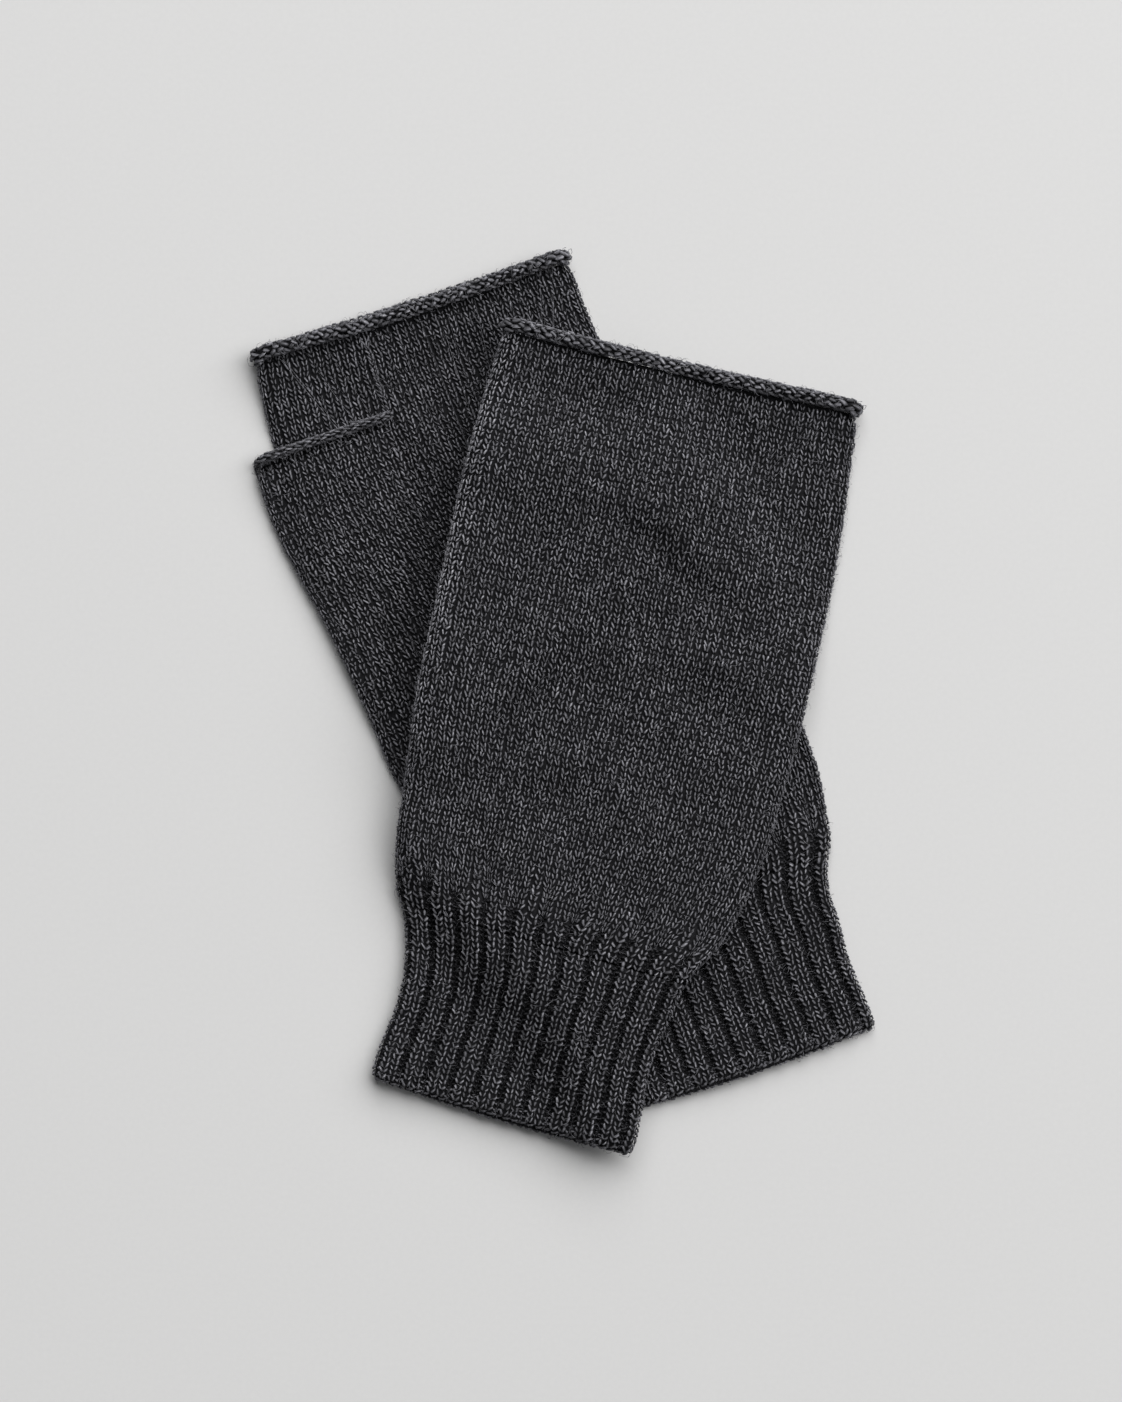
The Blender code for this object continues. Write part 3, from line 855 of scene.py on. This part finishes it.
def guide(tube, rows, first_wale, last_wale, where, tuck=0.0, ribs=True, step=0.5):
    """The surface that stitches are laid on: a grid whose UV map counts wales and courses.

    It carries, by name, the shares of its stitches that are shown at each place."""
    wales = np.arange(first_wale, last_wale + step / 2, step)
    points = lay_out(tube, rows, wales, tuck, ribs)
    count, columns = points.shape[:2]
    faces = []
    for i in range(count - 1):
        for j in range(columns - 1):
            a = i * columns + j
            faces.append((a, a + 1, a + columns + 1, a + columns))
    piece = mesh_object("guide", points.reshape(-1, 3), faces)
    courses = np.array([row.course for row in rows])
    marks = np.stack(np.meshgrid(wales, courses), axis=-1).reshape(-1, 2)
    corners = np.empty(len(piece.data.loops), int)
    piece.data.loops.foreach_get("vertex_index", corners)
    layer = piece.data.uv_layers.new(name="wales")
    layer.data.foreach_set("uv", (marks[corners] / MAP_SPAN).astype(np.float32).ravel())
    along, wale = np.meshgrid([row.along for row in rows], wales, indexing="ij")
    for key, shown in where.items():
        values = shown(points[..., 0], points[..., 1], wale, along)
        kept = piece.data.attributes.new(key, "FLOAT", "POINT")
        kept.data.foreach_set("value", values.astype(np.float32).ravel())
    return piece


def laid(name, tree, **given):
    """The stitches that the tree lays, as a plain mesh."""
    piece = mesh_object(name, np.zeros((0, 3)), [])
    modifier = piece.modifiers.new("Stitches", "NODES")
    modifier.node_group = tree
    sockets = {item.name: item.identifier for item in tree.interface.items_tree}
    values = {"Wales together": 1, "Wales apart": 1, "Share": 1.0, "Turn": 0.2, "Stray": 0.17, "Wander": 1.6}
    values.update({key.replace("_", " "): value for key, value in given.items()})
    for key, value in values.items():
        modifier[sockets[key.capitalize()]] = value
    bpy.context.view_layer.update()
    mesh = bpy.data.meshes.new_from_object(piece.evaluated_get(bpy.context.evaluated_depsgraph_get()))
    piece.modifiers.clear()
    mesh.name = name
    piece.data = mesh
    return piece


def joined(name, pieces):
    """Several laid meshes as one piece."""
    first = pieces[0]
    if len(pieces) > 1:
        with bpy.context.temp_override(active_object=first, object=first, selected_editable_objects=pieces):
            bpy.ops.object.join()
    first.name = name
    first.data.name = name
    return first


# --- Wool -----------------------------------------------------------------------------------------


def linear(colour):
    """An sRGB hex value as linear light."""
    parts = [int(colour[i : i + 2], 16) / 255 for i in (1, 3, 5)]
    return (*[c / 12.92 if c <= 0.04045 else ((c + 0.055) / 1.055) ** 2.4 for c in parts], 1.0)


def ramp(tree, factor, stops):
    """A colour or value between stops, each a place and an sRGB hex value."""
    colour = add(tree, "ShaderNodeValToRGB", {"Fac": factor})
    elements = colour.node.color_ramp.elements
    while len(elements) < len(stops):
        elements.new(0.5)
    for element, (place, value) in zip(elements, stops):
        element.position = place
        element.color = linear(value)
    return colour


def wool(name, stops, sheen=0.06, bump=0.35, painted_shade=0.85):
    """Melange wool yarn, spun from black, grey and a few pale fibres.

    The fibres run along the yarn as fine streaks, no light glances off it, and its nap catches some
    light where the surface turns away."""
    material = bpy.data.materials.new(name)
    material.use_nodes = True
    tree = material.node_tree
    shader = tree.nodes["Principled BSDF"]
    node = partial(add, tree)
    tone = node("ShaderNodeAttribute", attribute_name="tone").node.outputs["Fac"]
    yarn = node("ShaderNodeAttribute", attribute_name="strand").node.outputs["Vector"]

    # A streak is about 0.15 mm wide and 0.6 mm long; the tone moves each leg to fibres of its own
    apart = node(XYZ, {"Z": node(MATH, (tone, 90.0), operation="MULTIPLY")})
    place = node(VECTOR, (yarn, (6.5, 1.7, 0.0)), operation="MULTIPLY")
    place = node(VECTOR, (place, apart), operation="ADD")
    fibres = node(NOISE, {"Vector": place, "Scale": 1.0, "Detail": 2.0, "Roughness": 0.6})
    where = node("ShaderNodeTexCoord").node.outputs["Object"]
    cloudy = node(NOISE, {"Vector": where, "Scale": 1 / (5 * MM), "Detail": 3.0, "Roughness": 0.6})
    mixed = 0.5
    for part, share in ((fibres, 1.7), (tone, 0.45), (cloudy, 0.5)):
        swing = node(MATH, (part, 0.5), operation="SUBTRACT")
        mixed = node(MATH, (swing, share, mixed), operation="MULTIPLY_ADD")

    # Painted shade: the strand's sides and tips, pressed in among the neighbouring strands, are painted
    # darker towards near-black, for the shade that falls there
    shade_mask = node("ShaderNodeSeparateXYZ", {"Vector": yarn}).node.outputs["Z"]
    shade_mask = node(MATH, (shade_mask, 0.8), operation="POWER")
    shade_mask = node(MATH, (shade_mask, painted_shade), operation="MULTIPLY")
    mix = {"Factor_Float": shade_mask, "A_Color": ramp(tree, mixed, stops), "B_Color": linear("#1b1b1d")}
    shown = node("ShaderNodeMix", mix, data_type="RGBA")
    tree.links.new(shown, shader.inputs["Base Color"])
    raised = node("ShaderNodeBump", {"Height": fibres, "Strength": bump, "Distance": 0.12 * MM})
    tree.links.new(raised, shader.inputs["Normal"])
    shader.inputs["Roughness"].default_value = 0.85
    shader.inputs["Specular IOR Level"].default_value = 0.25
    shader.inputs["Sheen Weight"].default_value = sheen
    shader.inputs["Sheen Roughness"].default_value = 0.4
    shader.inputs["Sheen Tint"].default_value = linear("#d8d8de")
    return material


def backing_wool(name, colour, other):
    """The back of the knit, seen between its strands: the same wool, painted far darker than its yarn as
    painted shade for the gaps between the strands.
    """
    material = bpy.data.materials.new(name)
    material.use_nodes = True
    tree = material.node_tree
    shader = tree.nodes["Principled BSDF"]
    where = add(tree, "ShaderNodeTexCoord").node.outputs["Object"]
    nap = add(tree, NOISE, {"Vector": where, "Scale": 1 / (0.8 * MM), "Detail": 3.0})
    tree.links.new(ramp(tree, nap, ((0.3, colour), (0.75, other))), shader.inputs["Base Color"])
    raised = add(tree, "ShaderNodeBump", {"Height": nap, "Strength": 0.5, "Distance": 0.3 * MM})
    tree.links.new(raised, shader.inputs["Normal"])
    shader.inputs["Roughness"].default_value = 0.95
    shader.inputs["Specular IOR Level"].default_value = 0.1
    return material


# --- The pair -------------------------------------------------------------------------------------


def everywhere(x, y, wale, along):
    return np.ones_like(x)


def uncovered(edge):
    """Where the other mitt doesn't hide a face, and a strip just under that mitt's edge."""
    return lambda x, y, wale, along: (outside(x, y, edge) > -TUCKED).astype(float)


def napped(x, y, wale, along):
    """Where stray fibres stand: more of them along the folds, which rub."""
    return np.where((wale < 2) | (wale > WALES / 2 - 2), 1.0, 0.45)


def rubbed(x, y, wale, along):
    """Everywhere, and above 1 along the raised left fold, where the wool is painted paler as a painted
    highlight.
    """
    return 1 + PAINTED_HIGHLIGHT * smooth((PAINTED_HIGHLIGHT_TO - wale) / 1.2) * stretch(along, PAINTED_HIGHLIGHT_MIDDLE, PAINTED_HIGHLIGHT_HALF)


def rolled(tube, right_knob):
    """The rolled edge of a tube, whose bumps lie wider apart than its wales."""
    return tube._replace(thin=None, wales=round(tube.wales / ROLL_SPREAD), knobs=(1.0, right_knob))


HANDS = {
    "lower": Tube(LOWER, LOWER_HAND, on_surface, thin=pressed, hem_drop=1.3, edge_dip=1.5, peek=0.8),
    "upper": Tube(UPPER, UPPER_HAND, on_folded_thumb, thin=lofted, hem_drop=1.1, edge_dip=0.9, peek=0.4),
}
PRESSED = dict(half=PRESSED_HALF, wall=PRESSED_WALL, roll=PRESSED_ROLL)
THUMBS = {
    "lower": Tube(LOWER, LOWER_THUMB, under_thumb, roll=THUMB_ROLL, wales=THUMB_WALES, thin=flattened_thumb),
    "upper": Tube(UPPER, UPPER_THUMB, on_lower_mitt, wales=THUMB_WALES, **PRESSED),
}
ROLLS = {
    "lower_finger_roll": rolled(HANDS["lower"], 1.0),
    "lower_thumb_roll": rolled(THUMBS["lower"]._replace(ground=on_lower_palm), 0.0),
    "upper_finger_roll": rolled(HANDS["upper"], 1.0),
    "upper_thumb_roll": rolled(THUMBS["upper"], 0.0),
}
LOWER_FACE = Tube(LOWER, LOWER_PALM, under_palm, thin=flattened, hem_drop=1.3, edge_dip=1.5)
LOWER_FINGERS = HANDS["lower"]._replace(wales=FINGER_WALES)
FACE_SEEN = {"lower": uncovered(pair_outline(UPPER, UPPER_HAND)), "upper": everywhere}
BACK_SEEN = {"lower": everywhere, "upper": uncovered(pair_outline(LOWER, LOWER_HAND))}


def knit_end(tube):
    """Where a tube's plain knit ends, just short of its rolled edge."""
    return tube.rungs[-1].along - 2 * tube.roll - SEAM


def cast_on(tube):
    """The course at a cuff's hem."""
    return (tube.rungs[0].along + 1.0) / COURSE


def cloths():
    """The shell of each node."""
    # The backing's colours are painted shade: far darker than the yarn, for the gaps between the strands
    back = backing_wool("Charcoal wool, back of the knit", "#18181a", "#242426")
    made = {}

    def sheet(node, tube, rows, columns, **how):
        wales = np.arange(columns) * tube.wales / columns
        made[node] = closed_shell(f"{node}_cloth", lay_out(tube, rows, wales, **how))
        made[node].data.materials.append(back)

    for name, hand in HANDS.items():
        cuff, thumb = hand._replace(wales=CUFF_WALES), THUMBS[name]
        rows = shell_rows(cuff, cuff.rungs[0].along + 0.5, CUFF - SEAM / 2, 1.5)
        sheet(f"{name}_cuff", cuff, rows, 3 * CUFF_WALES)
        rows = shell_rows(hand, CUFF + SEAM / 2, knit_end(hand), 3.0)
        sheet(f"{name}_hand", hand, rows, 3 * WALES // 2)
        rows = shell_rows(thumb, thumb.rungs[0].along, knit_end(thumb), 3.0)
        sheet(f"{name}_thumb", thumb, rows, 2 * THUMB_WALES, ribs=False)
        for node in (f"{name}_finger_roll", f"{name}_thumb_roll"):
            tube = ROLLS[node]
            sheet(node, tube, rolled_rows(tube), 2 * tube.wales, tuck=ROLL_TUCK, ribs=False)
    return made


MELANGE = ((0.0, "#3d3d40"), (0.35, "#646468"), (0.6, "#828288"), (0.85, "#a6a6ac"), (1.0, "#cdcdd3"))
# A darker copy of the melange, for the purl stitches in the ribs' grooves: painted shade
FURROW_SHADED = ((0.0, "#1c1c1e"), (0.35, "#2a2a2d"), (0.6, "#38383b"), (0.85, "#4a4a4e"), (1.0, "#606064"))
FIBRE = ((0.0, "#4a4a4e"), (0.6, "#7d7d82"), (1.0, "#a8a8ad"))
Kit = namedtuple("Kit", "tree patterns yarns")


def knitting_kit():
    """What the stitches are laid with: the tree, the patterns and the yarns."""
    makers = {
        "knit": (knit_stitch, 3),  # and the seed of its variety
        "rib": (rib_stitch, 9),
        "plain": (plain_knit_stitch, 4),
        "purl": (purl_stitch, 5),
        "chain": (hem_stitch, 7),
        "bump": (roll_stitch, 8),
        "fibre": (stray_fibre, 6),
    }
    yarns = {
        "plain": wool("Melange wool yarn, plain knit", MELANGE),
        "rib": wool("Melange wool yarn, ribs", MELANGE, painted_shade=0.95),
        "roll": wool("Melange wool yarn, rolled edge", MELANGE),
        # The furrows' yarn is the same wool in a darker ramp: painted shade in the grooves
        "furrow": wool("Melange wool yarn, in the furrows of the rib", FURROW_SHADED, sheen=0.0),
        "fibre": wool("Stray wool fibres", FIBRE, sheen=0.0, bump=0.0, painted_shade=0.0),
    }
    made = {name: patterns(f"{name} stitch", one, PATTERNS, seed) for name, (one, seed) in makers.items()}
    return Kit(stitch_tree(), made, yarns)


def knitted(kit, name, cloth, seed, *layers):
    """One piece from layers of stitches on a guide, each with its pattern, its yarn and its place."""
    pieces = []
    for i, (pattern_name, yarn, place) in enumerate(layers):
        given = dict(stitches=kit.patterns[pattern_name], material=kit.yarns[yarn], seed=100 * i + seed)
        pieces.append(laid(f"{name}.{i}", kit.tree, cloth=cloth, **given, **place))
    return joined(name, pieces)


def fuzz(kit, node, cloth, seed, place):
    """The stray fibres of a node."""
    loose = dict(place, turn=pi, stray=1.3, wander=0.0)
    return knitted(kit, f"{node}_fuzz", cloth, seed, ("fibre", "fibre", loose))


def knit_cuff(kit, name, seed):
    """A cuff: knit on its ribs, purl between them and inside its hem, and a chain along its edge."""
    tube = HANDS[name]._replace(wales=CUFF_WALES)
    start, first = tube.rungs[0].along, cast_on(tube)
    face, inside = HALF - BED, HALF - WALL
    lip = [
        Row(first - 5.2, start + 0.9 + 4.2 * COURSE, inside),
        Row(first - 1.0, start + 0.9, inside),
        Row(first - 0.5, start + 0.45, (inside + face) / 2),
        Row(first, start + 1.0, face - 0.1),
    ]
    rows = lip + wall_rows(start + 1.9, CUFF + 9, 1.5, face)

    def shown(x, y, wale, along):
        front = (wale > -2.4) & (wale < 46.4) | (wale > 85.6)  # and a little way round either fold
        return np.where(front, FACE_SEEN[name](x, y, wale, along), BACK_SEEN[name](x, y, wale, along))

    cloth = guide(tube, rows, -4, CUFF_WALES + 4, {"shown": shown}, step=1 / 3)
    calm = dict(where="shown", turn=0.12, stray=0.1, wander=0.7)
    ribs = dict(calm, columns=CUFF_WALES // 2, wales_together=2, wales_apart=RIB, first_wale=RIBS_FROM)
    furrows = dict(ribs, first_wale=RIBS_FROM + 2)
    round_it = dict(calm, columns=CUFF_WALES, first_wale=0.0)
    stitches = knitted(
        kit,
        f"{name}_cuff_stitches",
        cloth,
        seed,
        ("rib", "rib", dict(ribs, rows=CUFF_COURSES, first_course=first)),
        ("purl", "plain", dict(furrows, rows=HEM_BAND, first_course=first)),
        # These purl stitches in the grooves take the darker yarn: painted shade
        ("purl", "furrow", dict(furrows, rows=CUFF_COURSES - HEM_BAND, first_course=first + HEM_BAND)),
        ("purl", "plain", dict(round_it, rows=3, first_course=first - 4.2)),
        ("chain", "plain", dict(round_it, rows=1, first_course=first - 0.9)),
    )
    place = dict(columns=CUFF_WALES, rows=CUFF_COURSES + 2, first_wale=0, first_course=first - 2)
    return [stitches, fuzz(kit, f"{name}_cuff", cloth, 7, dict(place, where="shown", share=0.5))]


def face_rows(tube, first=CUFF - 5):
    """The rows of a guide for plain knit, from a little way down in the cuff."""
    return sunk(wall_rows(first, tube.rungs[-1].along - 1.0, 1.6, HALF - BED), tube)


def face_place(tube):
    """The wales and courses of a hand's face."""
    first = cast_on(tube) + CUFF_COURSES
    courses = int(knit_end(tube) / COURSE - first)
    return dict(columns=FACE_WALES, rows=courses, first_wale=-2, first_course=first)


def knit_back(kit, name, seed):
    """The underside of a hand."""
    hand = HANDS[name]
    cloth = guide(hand, face_rows(hand), 44, 94, {"shown": BACK_SEEN[name]})
    first = FACE_WALES - 2
    place = dict(face_place(hand), columns=BACK_WALES, first_wale=first, where="shown")
    return knitted(kit, f"{name}_hand_back_stitches", cloth, seed, ("plain", "plain", place))


def knit_upper_hand(kit):
    hand = HANDS["upper"]
    back = knit_back(kit, "upper", 6)
    # Along the left fold its shares pass 1, which paints a highlight there
    cloth = guide(hand, face_rows(hand), -4, 50, {"shown": rubbed, "napped": napped})
    place = face_place(hand)
    face = knitted(kit, "upper_hand_stitches", cloth, 7, ("knit", "plain", dict(place, where="shown")))
    return [back, face, fuzz(kit, "upper_hand", cloth, 8, dict(place, where="napped"))]


def knit_lower_hand(kit):
    """The lower hand and its thumb: the palm's face runs on over the thumb, the fingers lie behind it."""
    hand, crotch = HANDS["lower"], to_pair(LOWER, *CROTCH)
    back = knit_back(kit, "lower", 2)

    def past_crotch(x, y):
        return np.hypot(x - crotch[0], y - crotch[1]) > CROTCH_HOLE

    def is_thumb(wale, along):
        return (wale < THUMB_SIDE) & (along >= THUMB_FROM)

    def on_palm(x, y, wale, along):
        end = np.where(wale < THUMB_SIDE, THUMB_FACE_END - 0.5 * COURSE, knit_end(hand) + 1.0)
        shown = (along < end) & ~((wale < -2) & (along < THUMB_FROM))
        return FACE_SEEN["lower"](x, y, wale, along) * shown * past_crotch(x, y)

    def on_hand(x, y, wale, along):
        return on_palm(x, y, wale, along) * ~is_thumb(wale, along)

    def on_thumb(x, y, wale, along):
        return on_palm(x, y, wale, along) * is_thumb(wale, along)

    def beside_thumb(x, y, wale, along):
        shown = (along > FINGERS_FROM) & (along < knit_end(hand) + 1.0)
        return (shown & past_crotch(x, y)).astype(float)

    cloth = guide(LOWER_FACE, face_rows(LOWER_FACE), -8, 50, {"hand": on_hand, "thumb": on_thumb})
    place = dict(face_place(hand), where="hand")
    face = knitted(kit, "lower_hand_stitches", cloth, 3, ("knit", "plain", place))
    thumb_place = dict(place, where="thumb", columns=THUMB_SIDE + 6, first_wale=-6)
    thumb = knitted(kit, "lower_thumb_stitches", cloth, 31, ("knit", "plain", thumb_place))
    nap = fuzz(kit, "lower_hand", cloth, 9, dict(place, share=0.5))
    place = dict(place, where="thumb", columns=THUMB_SIDE + 2, share=0.5)
    thumb_nap = fuzz(kit, "lower_thumb", cloth, 10, place)

    rows = face_rows(LOWER_FINGERS, FINGERS_FROM - 4)
    cloth = guide(LOWER_FINGERS, rows, -4, 20, {"shown": beside_thumb})
    fingers = knitted(kit, "lower_finger_stitches", cloth, 4, ("knit", "plain", FINGERS_PLACE))
    return [back, face, fingers, nap], [thumb, thumb_nap]


def knit_roll(kit, node, seed, seen):
    """A rolled edge, which shows the purl side of its knit."""
    tube = ROLLS[node]
    rows = [roll_row(tube, tube.roll - ROLL_BED, turn) for turn in range(-240, 241, 20)]
    cloth = guide(tube, rows, -4, tube.wales + 4, {"shown": seen}, ROLL_TUCK, ribs=False)
    place = dict(columns=tube.wales, rows=5, first_wale=0, first_course=-2.5, where="shown")
    bumps = ("bump", "roll", dict(place, turn=0.2, stray=0.14))
    return [knitted(kit, f"{node}_stitches", cloth, seed, bumps), fuzz(kit, node, cloth, 12, place)]


def yarnwork():
    """The stitches and stray fibres of each node."""
    kit, made = knitting_kit(), {}
    made["lower_cuff"] = knit_cuff(kit, "lower", 1)
    made["lower_hand"], made["lower_thumb"] = knit_lower_hand(kit)
    made["upper_cuff"] = knit_cuff(kit, "upper", 5)
    made["upper_hand"] = knit_upper_hand(kit)
    made["lower_finger_roll"] = knit_roll(kit, "lower_finger_roll", 8, FACE_SEEN["lower"])
    made["upper_finger_roll"] = knit_roll(kit, "upper_finger_roll", 9, everywhere)
    made["lower_thumb_roll"] = knit_roll(kit, "lower_thumb_roll", 10, everywhere)
    for old in [piece for piece in bpy.data.objects if piece.name.startswith("guide")]:
        bpy.data.objects.remove(old)
    for collection in kit.patterns.values():
        for old in list(collection.objects):
            bpy.data.objects.remove(old)
        bpy.data.collections.remove(collection)
    return made


# --- Attaching the pieces ---------------------------------------------------------------------------

HEMS = {"cuff": None, "hand": "finger_roll", "thumb": "thumb_roll"}


def declare(made, worked):
    """Each piece rides on the pair's one body, and the solid of its node is hidden."""
    for node, cloth in made.items():
        for piece in [cloth, *worked.get(node, [])]:
            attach(piece, "root")
        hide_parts(node)
    for mitt in ("lower", "upper"):
        for part, hem in HEMS.items():
            node = f"{mitt}_{part}"
            company = list(worked.get(node, []))
            if hem:
                edge = f"{mitt}_{hem}"
                company += [made[edge], *worked.get(edge, [])]


# --- Studio -----------------------------------------------------------------------------------------

VIEW = Vector((-0.85, 1.21, 0.0)) * MM  # the middle of the picture
VIEW_HIGH = 364.5 * MM  # what the picture's height takes in
CAMERA_UP = 2.5
SENSOR = 36.0  # millimetres, along the picture's height
LAMP_AT = (56.0, 43.5, 4.4)  # degrees round and up, and metres away
LAMP_SIZE = (7.5, 4.5)  # metres
LAMP_WATTS = 388.0
LAMP_COLOUR = (1.0, 0.995, 0.998)
SKY_STRENGTH = 0.15


def studio():
    """A pale seamless floor, one broad soft lamp beyond the fingers' end, and some even light."""
    bpy.ops.mesh.primitive_grid_add(size=60.0, x_subdivisions=2, y_subdivisions=2)
    floor = bpy.context.object
    floor.name = "floor"
    material = bpy.data.materials.new("Matt pale paper")  # uncoated, so without shine, with a faint tooth
    material.use_nodes = True
    tree = material.node_tree
    shader = tree.nodes["Principled BSDF"]
    where = add(tree, "ShaderNodeTexCoord").node.outputs["Object"]
    tooth = add(tree, NOISE, {"Vector": where, "Scale": 1 / (1.2 * MM), "Detail": 3.0})
    tree.links.new(ramp(tree, tooth, ((0.3, "#d9d9d8"), (0.7, "#dbdbda"))), shader.inputs["Base Color"])
    shader.inputs["Roughness"].default_value = 0.9
    shader.inputs["Specular IOR Level"].default_value = 0.1
    floor.data.materials.append(material)

    lamp = bpy.data.lights.new("softbox", "AREA")
    lamp.shape = "RECTANGLE"
    lamp.size, lamp.size_y = LAMP_SIZE
    lamp.energy = LAMP_WATTS
    lamp.color = LAMP_COLOUR
    holder = bpy.data.objects.new("softbox", lamp)
    bpy.context.scene.collection.objects.link(holder)
    az, el = radians(LAMP_AT[0]), radians(LAMP_AT[1])
    holder.location = [LAMP_AT[2] * c for c in (cos(el) * cos(az), cos(el) * sin(az), sin(el))]
    holder.rotation_euler = (VIEW - holder.location).to_track_quat("-Z", "Y").to_euler()

    world = bpy.data.worlds.new("studio")
    bpy.context.scene.world = world
    world.use_nodes = True
    sky = world.node_tree.nodes["Background"]
    sky.inputs["Color"].default_value = linear("#f2f3f5")
    sky.inputs["Strength"].default_value = SKY_STRENGTH

    eye = bpy.data.cameras.new("camera")
    eye.sensor_width = SENSOR
    eye.lens = SENSOR * CAMERA_UP / (VIEW_HIGH / MM) / MM
    camera = bpy.data.objects.new("camera", eye)
    bpy.context.scene.collection.objects.link(camera)
    camera.location = VIEW + Vector((0, 0, CAMERA_UP))
    bpy.context.scene.camera = camera
    bpy.context.scene.view_settings.view_transform = "Standard"


studio()
declare(cloths(), yarnwork())
